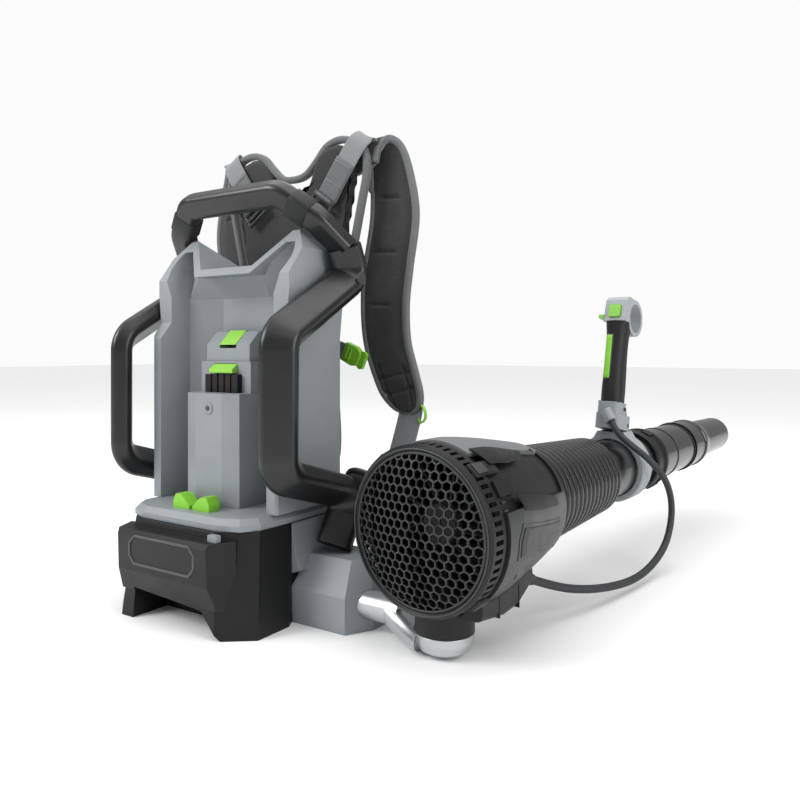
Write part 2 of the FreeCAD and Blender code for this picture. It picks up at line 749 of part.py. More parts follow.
def shell_patch(stations, thickness, start_angle, sweep):
    """A cover plate that lies over part of the fan housing."""
    upper = [(s, housing_radius(s) + thickness) for s in stations]
    lower = [(s, housing_radius(s) + 0.05) for s in reversed(stations)]
    fan = [(0, 0)]
    for step in range(5):
        angle = math.radians(start_angle + sweep * step / 4)
        fan.append((150 * math.cos(angle), 150 * math.sin(angle)))
    patch = turned(upper + lower).common(prism_y(fan, 0, HOUSING_END + 10))
    return patch.cut(make_fan_housing())


def make_top_saddle():
    return shell_patch(housing_stations(INTAKE_LENGTH + 4, HOUSING_END - 14), 6.0, 62, 68)


def make_side_panel():
    return shell_patch(housing_stations(INTAKE_LENGTH + 4, HOUSING_END - 14), 7.0, -52, 68)


POD_END = 136.0


def make_power_pod():
    """The underside housing with the controller, joined to the swivel collar."""
    profile = [(INTAKE_LENGTH + 2, -40), (INTAKE_LENGTH + 2, -93), (INTAKE_LENGTH + 50, -99), (106, -96),
               (POD_END, -80), (POD_END, -40)]
    pod = prism_x(profile, -38, 62)
    pod = rounded(pod, 8, lambda edge: edge.BoundBox.ZMax < -78 and edge.BoundBox.XLength < 1)
    stations = housing_stations(0, HOUSING_END)
    core = turned([(0, 0)] + [(s, housing_radius(s) + 7.1) for s in stations] + [(HOUSING_END, 0)])
    pod = pod.cut(core)
    placed = on_blower(pod.cut(make_fan_housing()))
    return placed.cut(make_swivel_collar_space())


def make_swivel_collar_space():
    return cylinder(COLLAR_RADIUS + 0.01, V(SWIVEL_X, SWIVEL_Y, COLLAR_LOW_Z - 25), Z_AXIS, 65)


def make_impeller():
    hub = turned([(38, 0), (38, 22), (44, 27), (70, 29), (70, 0)])
    shaft = cylinder(5, V(0, 70, 0), Y_AXIS, 12)
    blades = []
    for index in range(9):
        blade = box(V(20, 42, -1.5), V(FAN_RADIUS, 66, 1.5))
        blade.rotate(V(0, 54, 0), X_AXIS, 32)
        blade.rotate(V(0, 0, 0), Y_AXIS, index * 40)
        blades.append(blade)
    limit = turned([(36, 0), (36, FAN_RADIUS), (72, FAN_RADIUS), (72, 0)])
    wheel = fused([hub] + blades).common(limit)
    return fused([wheel, shaft])


def make_motor():
    body = turned([(74, 0), (74, 30), (130, 30), (175, 8), (175, 0)])
    bore = cylinder(5 + ARM_CLEARANCE, V(0, 70, 0), Y_AXIS, 13)
    return body.cut(bore)


def make_guide_vanes():
    """The fixed vanes that hold the motor in the air stream."""
    collar = turned([(84, 30.05), (84, 33), (120, 33), (120, 30.05)])
    vanes = []
    for index in range(7):
        vane = box(V(31, 86, -1.2), V(90, 118, 1.2))
        vane.rotate(V(0, 102, 0), X_AXIS, -14)
        vane.rotate(V(0, 0, 0), Y_AXIS, index * 360 / 7)
        vanes.append(vane)
    stations = [80, 95, 130]
    room = turned([(80, 30.05)] + [(s, housing_radius(s) - SHELL_WALL - 0.05) for s in stations]
                  + [(130, 30.05)])
    return fused([collar] + vanes).common(room).cut(make_fan_housing())


def make_cable_gland():
    """The strain relief where the control cable leaves the underside housing."""
    start = CABLE_ROUTE[0]
    onward = (CABLE_ROUTE[1] - start).normalize()
    sleeve = Part.makeCone(10, CABLE_RADIUS + 1.5, 22, start - onward * 22, onward)
    skin = on_blower(turned([(20, 0), (20, 97.5), (60, 97.5), (HOUSING_END, housing_radius(HOUSING_END) + 9),
                             (HOUSING_END, 0)]))
    return sleeve.cut(make_power_pod()).cut(skin)


def make_bellows():
    outer = []
    step = (BELLOWS_LENGTH - 16) / BELLOWS_RIBS
    for index in range(BELLOWS_RIBS):
        station = BELLOWS_START + 8 + index * step
        share = (index + 0.5) / BELLOWS_RIBS
        crest = OUTLET_RADIUS + (BELLOWS_END_RADIUS - OUTLET_RADIUS) * share
        outer += [(station + 0.2 * step, crest - 6), (station + 0.4 * step, crest),
                  (station + 0.8 * step, crest), (station + step, crest - 6)]
    profile = [(BELLOWS_START, OUTLET_RADIUS - 1), (BELLOWS_START + 8, OUTLET_RADIUS - 1)] + outer
    profile += [(BELLOWS_END, TUBE_RADIUS + 5)]
    inner = [(BELLOWS_END, TUBE_RADIUS + 0.05), (BELLOWS_END - 12, TUBE_RADIUS + 0.05),
             (BELLOWS_START, OUTLET_RADIUS - 9)]
    return turned(profile + inner)


def make_front_tube():
    radius = TUBE_RADIUS
    wall = TUBE_WALL
    return turned([(BELLOWS_END - 12, radius), (TUBE_END, radius), (TUBE_END, radius - wall),
                   (BELLOWS_END - 12, radius - wall)])


def make_clamp_solid():
    low = CLAMP_CENTRE - CLAMP_WIDTH / 2
    high = CLAMP_CENTRE + CLAMP_WIDTH / 2
    ring = turned([(low, TUBE_RADIUS + 0.05), (low, CLAMP_RADIUS - 2), (low + 3, CLAMP_RADIUS),
                   (high - 3, CLAMP_RADIUS), (high, CLAMP_RADIUS - 2), (high, TUBE_RADIUS + 0.05)])
    saddle = prism_y([(-34, 36), (-22, CLAMP_RADIUS + 2), (22, CLAMP_RADIUS + 2), (34, 36)],
                     low + 1, high - 1)
    inner = cylinder(TUBE_RADIUS + 0.05, V(0, low - 1, 0), Y_AXIS, CLAMP_WIDTH + 2)
    return fused([ring, saddle]).cut(inner)


def make_coupling():
    """The bayonet ring that joins the front tube to the middle tube."""
    low = TUBE_END - 34
    high = TUBE_END + 12
    ring = turned([(low, TUBE_RADIUS + 0.05), (low, COUPLING_RADIUS - 2), (low + 5, COUPLING_RADIUS),
                   (low + 14, COUPLING_RADIUS), (low + 16, COUPLING_RADIUS - 3), (high - 8, COUPLING_RADIUS - 3),
                   (high - 6, COUPLING_RADIUS), (high, COUPLING_RADIUS), (high, TUBE_RADIUS + 0.05)])
    lugs = []
    for index in range(3):
        lug = box(V(TUBE_RADIUS + 1, low + 17, -7), V(COUPLING_RADIUS + 1.5, high - 9, 7))
        lug.rotate(V(0, 0, 0), Y_AXIS, 55 + index * 120)
        lugs.append(lug)
    return fused([ring] + lugs).cut(cylinder(TUBE_RADIUS + 0.05, V(0, low - 1, 0), Y_AXIS, 70))


def make_mid_tube():
    radius = TUBE_RADIUS
    wall = TUBE_WALL
    tube = [(TUBE_END + 0.1, radius), (MID_TUBE_END, radius - 2), (MID_TUBE_END, radius - 5),
            (MID_TUBE_END + 22, radius - 5), (MID_TUBE_END + 22, radius - 5 - wall),
            (MID_TUBE_END - 4, radius - 5 - wall), (TUBE_END + 0.1, radius - wall)]
    return turned(tube)


def make_nozzle():
    """The end nozzle, which twists on its bayonet ring."""
    start = MID_TUBE_END + 0.3
    bore = TUBE_RADIUS - 5 + 0.05
    outside = [(start, bore), (start, TUBE_RADIUS + 1), (start + 8, TUBE_RADIUS + 1), (start + 9, TUBE_RADIUS - 1),
               (start + 60, TUBE_RADIUS - 1.5), (start + 62, TUBE_RADIUS + 0.5), (start + 70, TUBE_RADIUS + 0.5),
               (start + 72, TUBE_RADIUS - 2), (start + 110, NOZZLE_RADIUS + 3), (NOZZLE_END - 4, NOZZLE_RADIUS),
               (NOZZLE_END, NOZZLE_RADIUS - 1.5)]
    inside = [(NOZZLE_END, NOZZLE_BORE), (NOZZLE_END - NOZZLE_MOUTH, NOZZLE_BORE),
              (start + 110, NOZZLE_RADIUS), (start + 23, bore - 3),
              (start + 23, bore)]
    return turned(outside + inside)


# ---------------------------------------------------------------- control handle

def rounded_box(low, high, radius):
    return rounded(box(low, high), radius, lambda edge: is_along(edge, Z_AXIS))


def make_handle_bracket():
    """The grey foot of the handle, with the cable's entry on its back."""
    low = rounded_box(V(-20, -20, BRACKET_LOW), V(20, 34, BRACKET_LOW + 24), 9)
    high = rounded_box(V(-18, -19, BRACKET_LOW + 14), V(18, 17, GRIP_LOW), 8)
    slope = prism_x([(10, BRACKET_LOW + 20), (34, BRACKET_LOW + 20), (26, BRACKET_LOW + 32),
                     (16, GRIP_LOW - 6), (10, GRIP_LOW - 6)], -14, 14)
    body = fused([low, high, slope])
    body = body.cut(cylinder(2.6, V(-30, 24, BRACKET_LOW + 9), X_AXIS, 60))
    placed = on_handle(body).cut(on_blower(make_clamp_solid())).cut(make_control_cable())
    end = CABLE_ROUTE[-1]
    onward = (end - CABLE_ROUTE[-2]).normalize()
    boss = cylinder(9, end, onward, 20)
    return fused([placed, boss.cut(on_handle(make_grip()))])


def make_grip():
    sections = []
    for height, width, depth in ((GRIP_LOW, GRIP_WIDTH, 34), (GRIP_LOW + 60, GRIP_WIDTH - 3, 35),
                                 (GRIP_HIGH - 22, GRIP_WIDTH - 1, 34), (GRIP_HIGH, GRIP_WIDTH + 3, 40)):
        sections.append(slot_wire(V(0, 0, height), Y_AXIS, X_AXIS, depth + 4, width))
    body = Part.makeLoft(sections, True, False)
    return body.cut(trigger_space()).cut(head_loop_space())


TRIGGER_LOW = GRIP_HIGH - 78.0
TRIGGER_HIGH = GRIP_HIGH - 34.0
TRIGGER_PIVOT = V(0, 12, TRIGGER_HIGH - 5)
TRIGGER_HALF = 6.0


def make_trigger():
    """A finger lever in the front of the grip, hinged at its top."""
    profile = [(8, TRIGGER_HIGH), (17, TRIGGER_HIGH), (25, TRIGGER_LOW + 18), (24, TRIGGER_LOW),
               (18, TRIGGER_LOW), (12, TRIGGER_LOW + 20), (8, TRIGGER_HIGH - 12)]
    lever = prism_x(profile, -TRIGGER_HALF, TRIGGER_HALF)
    return lever


def trigger_space():
    gap = MOVING_GAP
    return box(V(-TRIGGER_HALF - gap, 2, TRIGGER_LOW - 3), V(TRIGGER_HALF + gap, 40, TRIGGER_HIGH + 3))


def head_loop_space():
    return cylinder(LOOP_RADIUS + 0.05, V(-30, LOOP_Y, GRIP_HIGH + LOOP_RISE), X_AXIS, 60)


def make_handle_head():
    """The head block with the switch panel and the open loop on its front."""
    half = 18.0
    top = GRIP_HIGH + HEAD_HEIGHT
    profile = [(-21, GRIP_HIGH), (14, GRIP_HIGH), (22, top), (-8, top), (-16, top - 7)]
    block = prism_x(profile, -half, half)
    ring = cylinder(LOOP_RADIUS, V(-half, LOOP_Y, GRIP_HIGH + LOOP_RISE), X_AXIS, 2 * half)
    hole = cylinder(LOOP_HOLE, V(-half - 1, LOOP_Y, GRIP_HIGH + LOOP_RISE), X_AXIS, 2 * half + 2)
    body = fused([block, ring]).cut(hole)
    body = body.cut(turbo_space()).cut(cruise_space())
    return body


def turbo_button():
    return rounded(box(V(-9, -24, GRIP_HIGH + 6), V(9, -13, GRIP_HIGH + 26)), 2.0,
                   lambda edge: is_along(edge, Y_AXIS))


def turbo_space():
    gap = MOVING_GAP
    return box(V(-9 - gap, -30, GRIP_HIGH + 6 - gap), V(9 + gap, -13 + 3 + gap, GRIP_HIGH + 26 + gap))


CRUISE_PIVOT_Y = -8.0
CRUISE_PIVOT_Z = 7.0


def make_cruise_lever():
    """The thumb lever on the side of the head, turning about a sideways axis."""
    hub = cylinder(6, V(-22, CRUISE_PIVOT_Y, GRIP_HIGH + CRUISE_PIVOT_Z), X_AXIS, 9)
    arm = box(V(-26, CRUISE_PIVOT_Y - 14, GRIP_HIGH + CRUISE_PIVOT_Z - 3),
              V(-18 - MOVING_GAP, CRUISE_PIVOT_Y, GRIP_HIGH + CRUISE_PIVOT_Z + 3))
    return fused([hub, arm])


def cruise_space():
    return cylinder(6 + ARM_CLEARANCE, V(-30, CRUISE_PIVOT_Y, GRIP_HIGH + CRUISE_PIVOT_Z), X_AXIS,
                    17 + MOVING_GAP)


# ---------------------------------------------------------------- control cable

CABLE_ROUTE = [
    V(381, 98, 66), V(392, 152, 44), V(408, 205, 30), V(422, 265, 20), V(434, 335, 14), V(441, 400, 20),
    V(446, 456, 38), V(448, 484, 72), V(447, 486, 108), V(441, 466, 142), V(425, 440, 170),
    V(400, 432, 191), V(379, 430, 208), V(368, 435, 226),
]


def make_control_cable():
    """The conduit that hangs in a loop from the gland to the handle."""
    radii = largest_radii(CABLE_ROUTE)
    path = tangent_path(CABLE_ROUTE, radii)
    along = CABLE_ROUTE[1] - CABLE_ROUTE[0]
    section = Part.Wire(Part.makeCircle(CABLE_RADIUS, CABLE_ROUTE[0], along))
    cable = path.makePipeShell([section], True, False)
    print("cable radii", [round(radius) for radius in radii])
    print("cable length", round(path.Length), "volume over section",
          round(cable.Volume / (math.pi * CABLE_RADIUS ** 2)))
    return cable


# ---------------------------------------------------------------- harness

PAD_LOW_Y = HOUSING_BACK_Y + 12
PAD_HIGH_Y = PAD_LOW_Y + BACK_PAD_THICKNESS
YOKE_LOW_Y = PAD_HIGH_Y + PAD_GAP
YOKE_HIGH_Y = YOKE_LOW_Y + 14
STRAP_LOW_Y = YOKE_HIGH_Y + 16
STRAP_HIGH_Y = STRAP_LOW_Y + STRAP_THICKNESS


def make_back_pad():
    outline = [(-BACK_PAD_HALF, 170), (BACK_PAD_HALF, 170), (BACK_PAD_HALF, 420), (70, 446),
               (-70, 446), (-BACK_PAD_HALF, 420)]
    return prism_y(outline, PAD_LOW_Y, PAD_HIGH_Y)


def make_yoke_pad():
    outline = [(0, 590), (38, 604), (66, 634), (95, 636), (134, 612), (128, 560), (108, 470), (98, 430),
               (-98, 430), (-108, 470), (-128, 560), (-134, 612), (-95, 636), (-66, 634), (-38, 604)]
    return prism_y(outline, YOKE_LOW_Y, YOKE_HIGH_Y)


def make_shoulder_strap():
    inner = [(100, 606), (117, 520), (101, 400), (116, 320), (150, 252)]
    outer = [(168, 606), (196, 520), (177, 400), (190, 320), (208, 252)]
    front = smooth_strip(inner, outer, STRAP_LOW_Y, STRAP_HIGH_Y)
    bridge = prism_x([(YOKE_HIGH_Y + PAD_GAP, 590), (STRAP_LOW_Y + 8, 590), (STRAP_LOW_Y + 8, 600),
                      (STRAP_HIGH_Y - 2, 606), (STRAP_LOW_Y + 4, 622), (YOKE_HIGH_Y + PAD_GAP, 628)], 102, 162)
    return fused([front, bridge])


def make_load_lifter():
    y = YOKE_LOW_Y - 3
    return flat_strap(V(118, y, 626), V(72, y, 545), 34, X_AXIS)


def make_strap_web():
    return flat_strap(V(184, STRAP_LOW_Y + 6, 247), V(160, 98, 120), 38, X_AXIS)


def make_hip_pad():
    outline = [(119, 100), (168, 84), (178, 110), (172, 165), (150, 178), (119, 170)]
    return prism_y(outline, 66, 92)


def make_chest_strap():
    return flat_strap(V(-112, STRAP_LOW_Y - 4, 336), V(78, STRAP_LOW_Y - 4, 330), 25, Z_AXIS)


def make_chest_buckle():
    return box(V(78.5, STRAP_LOW_Y - 10, 314), V(116, STRAP_LOW_Y - 0.6, 346))


# ---------------------------------------------------------------- all pieces

SHAPES = {}


def add(node, shape):
    SHAPES[node] = shape


def add_pair(node, shape):
    add(node + "_right", shape)
    add(node + "_left", shape.mirror(V(0, 0, 0), X_AXIS))


add("base_shell", make_base_shell())
add("base_badge", make_base_badge())
add("base_deck", make_deck())
add("rail_block", make_rail_block())
add_pair("deck_latch", deck_latch())
add("housing_shell", make_housing())
add("back_plate", make_back_plate())
add("dock_tower", make_dock_tower())
add("terminal_block", make_terminal_block())
add("terminal_blades", make_terminal_blades())
add("battery_latch", battery_latch())
add("dock_cover", make_dock_cover())
add("release_button", release_button())
add_pair("guard", make_guard())
add("carry_handle", make_carry_handle())
add("arm_box", make_arm_box())
add("swivel_arm", make_swivel_arm())
add("swivel_collar", make_swivel_collar())
add("intake_grille", on_blower(make_intake_grille()))
add("intake_ring", on_blower(make_intake_ring()))
add("fan_housing", on_blower(make_fan_housing()))
add("top_saddle", on_blower(make_top_saddle()))
add("side_panel", on_blower(make_side_panel()))
add("power_pod", make_power_pod())
add("impeller", on_blower(make_impeller()))
add("motor", on_blower(make_motor()))
add("guide_vanes", on_blower(make_guide_vanes()))
add("cable_gland", make_cable_gland())
add("bellows", on_blower(make_bellows()))
add("front_tube", on_blower(make_front_tube()))
add("handle_clamp", on_blower(make_clamp_solid()))
add("tube_coupling", on_blower(make_coupling()))
add("mid_tube", on_blower(make_mid_tube()))
add("nozzle", on_blower(make_nozzle()))
add("handle_bracket", make_handle_bracket())
add("handle_grip", on_handle(make_grip()))
add("handle_head", on_handle(make_handle_head()))
add("turbo_button", on_handle(turbo_button()))
add("trigger", on_handle(make_trigger()))
add("cruise_lever", on_handle(make_cruise_lever()))
add("control_cable", make_control_cable())
add("back_pad", make_back_pad())
add("yoke_pad", make_yoke_pad())
add_pair("shoulder_strap", make_shoulder_strap())
add_pair("load_lifter", make_load_lifter())
add_pair("strap_web", make_strap_web())
add_pair("hip_pad", make_hip_pad())
add("chest_strap", make_chest_strap())
add("chest_buckle", make_chest_buckle())

os.makedirs("parts", exist_ok=True)
for name, shape in SHAPES.items():
    if not shape.isValid() or shape.Volume < 1:
        print("check", name, shape.isValid(), round(shape.Volume, 1))
    shape.exportStep(os.path.join("parts", name + ".step"))
print(len(SHAPES), "pieces")
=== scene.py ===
import math

import bmesh
import bpy
from mathutils import Matrix, Vector, noise


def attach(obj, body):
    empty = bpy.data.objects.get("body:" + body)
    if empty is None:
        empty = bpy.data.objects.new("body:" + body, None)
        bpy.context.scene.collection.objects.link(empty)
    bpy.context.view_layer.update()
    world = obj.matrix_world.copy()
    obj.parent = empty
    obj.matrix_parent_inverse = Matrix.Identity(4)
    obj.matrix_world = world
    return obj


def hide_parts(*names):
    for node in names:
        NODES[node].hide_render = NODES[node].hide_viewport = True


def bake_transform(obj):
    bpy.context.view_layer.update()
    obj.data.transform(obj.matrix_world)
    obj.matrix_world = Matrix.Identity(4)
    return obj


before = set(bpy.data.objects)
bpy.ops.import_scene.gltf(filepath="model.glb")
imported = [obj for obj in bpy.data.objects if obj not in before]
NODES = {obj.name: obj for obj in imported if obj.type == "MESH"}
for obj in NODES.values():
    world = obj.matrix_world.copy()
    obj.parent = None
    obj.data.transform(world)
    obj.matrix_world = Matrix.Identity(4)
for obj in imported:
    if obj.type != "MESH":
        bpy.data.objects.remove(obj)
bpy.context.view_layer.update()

MM = 0.001
BLOWER = (Matrix.Translation((0.316, -0.050, 0.1435)) @ Matrix.Rotation(math.radians(-5.0), 4, "Z")
          @ Matrix.Rotation(math.radians(0.7), 4, "X"))
HANDLE = BLOWER @ Matrix.Translation((0, 0.494, 0)) @ Matrix.Rotation(math.radians(-12.6), 4, "X")
X_AXIS = Vector((1, 0, 0))
Y_AXIS = Vector((0, 1, 0))
Z_AXIS = Vector((0, 0, 1))


def V(x, y, z):
    """A point given in millimetres."""
    return Vector((x, y, z)) * MM


# ------------------------------------------------------------------ camera

camera_data = bpy.data.cameras.new("camera")
camera_data.lens = 33.75
camera_data.sensor_width = 36.0
camera_data.shift_y = -0.0625
camera_data.clip_start = 0.02
camera_data.clip_end = 30.0
camera = bpy.data.objects.new("camera", camera_data)
bpy.context.scene.collection.objects.link(camera)
camera.location = (0.7405, -0.7265, 0.337)
camera.rotation_euler = (math.radians(90.0), 0.0, math.radians(33.5))
bpy.context.scene.camera = camera


# ------------------------------------------------------------------ mesh helpers

DISC_SEGMENTS = 24
ROUND_SEGMENTS = 128
TUBE_SEGMENTS = 96
SPLINE_PARTS = 16
BAR_PARTS = 6
RIBBON_SIDES = 16


def mesh_object(name, vertices, faces, smooth=True, uvs=None):
    mesh = bpy.data.meshes.new(name)
    mesh.from_pydata([tuple(v) for v in vertices], [], faces)
    if uvs is not None:
        layer = mesh.uv_layers.new(name="weave")
        for loop in mesh.loops:
            layer.data[loop.index].uv = uvs[loop.vertex_index]
    mesh.validate()
    mesh.update()
    built = bmesh.new()
    built.from_mesh(mesh)
    bmesh.ops.recalc_face_normals(built, faces=built.faces)
    built.to_mesh(mesh)
    built.free()
    for polygon in mesh.polygons:
        polygon.use_smooth = smooth
    obj = bpy.data.objects.new(name, mesh)
    bpy.context.scene.collection.objects.link(obj)
    return obj


def finish_piece(obj, material, body, matrix=None):
    if matrix is not None:
        obj.data.transform(matrix)
    obj.data.materials.clear()
    obj.data.materials.append(material)
    if body:
        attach(obj, body)
    return obj


def bevelled(obj, width, segments=2, angle=30):
    modifier = obj.modifiers.new("edge", "BEVEL")
    modifier.width = width
    modifier.segments = segments
    modifier.limit_method = "ANGLE"
    modifier.angle_limit = math.radians(angle)
    applied(obj)
    return obj


def applied(obj):
    """Bakes the object's modifiers into its mesh."""
    depsgraph = bpy.context.evaluated_depsgraph_get()
    mesh = bpy.data.meshes.new_from_object(obj.evaluated_get(depsgraph))
    old = obj.data
    obj.modifiers.clear()
    obj.data = mesh
    bpy.data.meshes.remove(old)
    return obj


def prism(name, outline, low, high, axis="y", bevel=0.0008):
    """A solid with a polygon outline in mm, drawn across the y or z axis, between two heights in mm."""
    def place(u, v, w):
        return V(u, w, v) if axis == "y" else V(u, v, w)
    count = len(outline)
    vertices = [place(u, v, low) for u, v in outline] + [place(u, v, high) for u, v in outline]
    faces = [list(range(count)), list(range(count, 2 * count))]
    for index in range(count):
        onward = (index + 1) % count
        faces.append([index, onward, count + onward, count + index])
    obj = mesh_object(name, vertices, faces, smooth=False)
    if bevel:
        bevelled(obj, bevel)
    return obj


def block(name, low, high, bevel):
    """A box in mm between two corners."""
    x0, y0, z0 = low
    x1, y1, z1 = high
    return prism(name, [(x0, z0), (x1, z0), (x1, z1), (x0, z1)], y0, y1, "y", bevel)


def revolved(name, profile, segments):
    """Turns a closed loop of (station, radius) points in mm about +Y."""
    vertices = []
    for station, radius in profile:
        for step in range(segments):
            angle = 2 * math.pi * step / segments
            vertices.append(V(radius * math.cos(angle), station, radius * math.sin(angle)))
    faces = []
    rows = len(profile)
    for row in range(rows):
        nxt = (row + 1) % rows
        for step in range(segments):
            onward = (step + 1) % segments
            faces.append([row * segments + step, row * segments + onward,
                          nxt * segments + onward, nxt * segments + step])
    return mesh_object(name, vertices, faces)


def disc(name, centre, direction, radius, thickness, bevel=0.0006):
    """A short round piece in mm; direction is its axis."""
    circle = [(radius * math.cos(2 * math.pi * step / DISC_SEGMENTS),
               radius * math.sin(2 * math.pi * step / DISC_SEGMENTS)) for step in range(DISC_SEGMENTS)]
    obj = prism(name, circle, 0, thickness, "z", bevel)
    turn = Z_AXIS.rotation_difference(Vector(direction)).to_matrix().to_4x4()
    obj.data.transform(Matrix.Translation(V(*centre)) @ turn)
    return obj


def smooth_line(points, step=0.003, closed=False):
    """A smooth line through the points, resampled evenly."""
    count = len(points)
    dense = []
    spans = count if closed else count - 1
    for index in range(spans):
        if closed:
            a, b, c, d = (points[(index + k) % count] for k in (-1, 0, 1, 2))
        else:
            a = points[max(index - 1, 0)]
            b = points[index]
            c = points[index + 1]
            d = points[min(index + 2, count - 1)]
        for part in range(SPLINE_PARTS):
            t = part / SPLINE_PARTS
            dense.append(0.5 * ((2 * b) + (c - a) * t + (2 * a - 5 * b + 4 * c - d) * t * t
                                + (3 * b - a - 3 * c + d) * t ** 3))
    dense.append(points[0].copy() if closed else points[-1].copy())
    return resampled(dense, step, closed)


def resampled(points, step, closed=False):
    """Evenly spaced points along a line."""
    lengths = [0.0]
    for before, after in zip(points, points[1:]):
        lengths.append(lengths[-1] + (after - before).length)
    total = lengths[-1]
    count = max(2, int(round(total / step)))
    result = []
    cursor = 0
    for index in range(count + (0 if closed else 1)):
        wanted = total * index / count
        while cursor < len(points) - 2 and lengths[cursor + 1] < wanted:
            cursor += 1
        span = lengths[cursor + 1] - lengths[cursor]
        share = (wanted - lengths[cursor]) / span if span > 1e-9 else 0.0
        result.append(points[cursor].lerp(points[cursor + 1], min(max(share, 0), 1)))
    return result


def tangents(points, closed=False):
    """The direction of a line at each of its points."""
    result = []
    count = len(points)
    for index in range(count):
        if closed:
            ahead = points[(index + 1) % count] - points[index - 1]
        else:
            ahead = points[min(index + 1, count - 1)] - points[max(index - 1, 0)]
        result.append(ahead.normalized())
    return result


def sweep(name, points, sides, section, closed=False):
    """Carries a section of (side, up) offsets in metres along a line.

    sides gives each point's side direction, and section may be a function of the point's number."""
    along = tangents(points, closed)
    size = len(section(0)) if callable(section) else len(section)
    vertices = []
    uvs = []
    travelled = 0.0
    for index, point in enumerate(points):
        if index:
            travelled += (point - points[index - 1]).length
        side = sides[index] - along[index] * sides[index].dot(along[index])
        side.normalize()
        up = along[index].cross(side)
        ring = section(index) if callable(section) else section
        for a, b in ring:
            vertices.append(point + side * a + up * b)
            uvs.append((a, travelled))
    rows = len(points)
    faces = []
    for row in range(rows if closed else rows - 1):
        nxt = (row + 1) % rows
        for step in range(size):
            onward = (step + 1) % size
            faces.append([row * size + step, row * size + onward, nxt * size + onward, nxt * size + step])
    if not closed:
        faces.append(list(range(size)))
        faces.append(list(range((rows - 1) * size, rows * size)))
    return mesh_object(name, vertices, faces, uvs=uvs)


def oval(width, height, steps=12, power=2.6):
    """A rounded section, flatter than an ellipse where power is over 2."""
    ring = []
    for step in range(steps):
        angle = 2 * math.pi * step / steps
        c, s = math.cos(angle), math.sin(angle)
        ring.append((width / 2 * math.copysign(abs(c) ** (2 / power), c),
                     height / 2 * math.copysign(abs(s) ** (2 / power), s)))
    return ring


def ribbon(name, controls, across, width, thickness=0.0022, step=0.004):
    """Webbing along a smooth line through the control points."""
    points = smooth_line(controls, step)
    return sweep(name, points, [Vector(across)] * len(points), oval(width, thickness, RIBBON_SIDES, 6.0))


def straight_bar(name, start, end, side, section, parts=BAR_PARTS):
    """A straight run of a section between two points."""
    line = [start.lerp(end, t / parts) for t in range(parts + 1)]
    return sweep(name, line, [side] * (parts + 1), section)


def joined(name, pieces):
    """Puts several mesh pieces in one object."""
    vertices, faces, smooths = [], [], []
    for piece in pieces:
        base = len(vertices)
        mesh = piece.data
        vertices += [v.co.copy() for v in mesh.vertices]
        for polygon in mesh.polygons:
            faces.append([base + i for i in polygon.vertices])
            smooths.append(polygon.use_smooth)
    obj = mesh_object(name, vertices, faces, True)
    if len(obj.data.polygons) == len(smooths):
        for polygon, smooth in zip(obj.data.polygons, smooths):
            polygon.use_smooth = smooth
    for piece in pieces:
        old = piece.data
        bpy.data.objects.remove(piece)
        bpy.data.meshes.remove(old)
    return obj


# ------------------------------------------------------------------ materials

def new_material(name):
    material = bpy.data.materials.new(name)
    material.use_nodes = True
    tree = material.node_tree
    shader = tree.nodes["Principled BSDF"]
    return material, tree, shader


def linear(colour):
    """An sRGB colour of 0 to 255 as linear values."""
    result = []
    for channel in colour:
        share = channel / 255
        result.append(share / 12.92 if share <= 0.04045 else ((share + 0.055) / 1.055) ** 2.4)
    return (*result, 1.0)


def node(tree, kind, **values):
    made = tree.nodes.new(kind)
    for key, value in values.items():
        if key in made.inputs:
            made.inputs[key].default_value = value
        else:
            setattr(made, key, value)
    return made


def object_coordinates(tree):
    return tree.nodes.new("ShaderNodeTexCoord").outputs["Object"]


def coloured(tree, shader, source, low, high, start=0.0, end=1.0):
    """Turns a value from 0 to 1 into a base colour between two colours."""
    ramp = node(tree, "ShaderNodeValToRGB")
    for element, colour, position in zip(ramp.color_ramp.elements, (low, high), (start, end)):
        element.color = colour
        element.position = position
    tree.links.new(source, ramp.inputs["Fac"])
    tree.links.new(ramp.outputs["Color"], shader.inputs["Base Color"])


def bumped(tree, shader, source, strength, distance, edge_radius=0):
    """Raises the surface by a value, over edges that are softly rounded where edge_radius is given."""
    bump = node(tree, "ShaderNodeBump", Strength=strength, Distance=distance)
    tree.links.new(source, bump.inputs["Height"])
    if edge_radius:
        edge = node(tree, "ShaderNodeBevel", Radius=edge_radius)
        edge.samples = 4
        tree.links.new(edge.outputs["Normal"], bump.inputs["Normal"])
    tree.links.new(bump.outputs["Normal"], shader.inputs["Normal"])


def worn(tree, shader, source, roughness, spread, start=0.0, end=1.0):
    """Spreads the roughness evenly about a middle value."""
    mapped = node(tree, "ShaderNodeMapRange")
    mapped.inputs["From Min"].default_value = start
    mapped.inputs["From Max"].default_value = end
    mapped.inputs["To Min"].default_value = max(0.05, roughness - spread)
    mapped.inputs["To Max"].default_value = min(1.0, roughness + spread)
    tree.links.new(source, mapped.inputs["Value"])
    tree.links.new(mapped.outputs["Result"], shader.inputs["Roughness"])


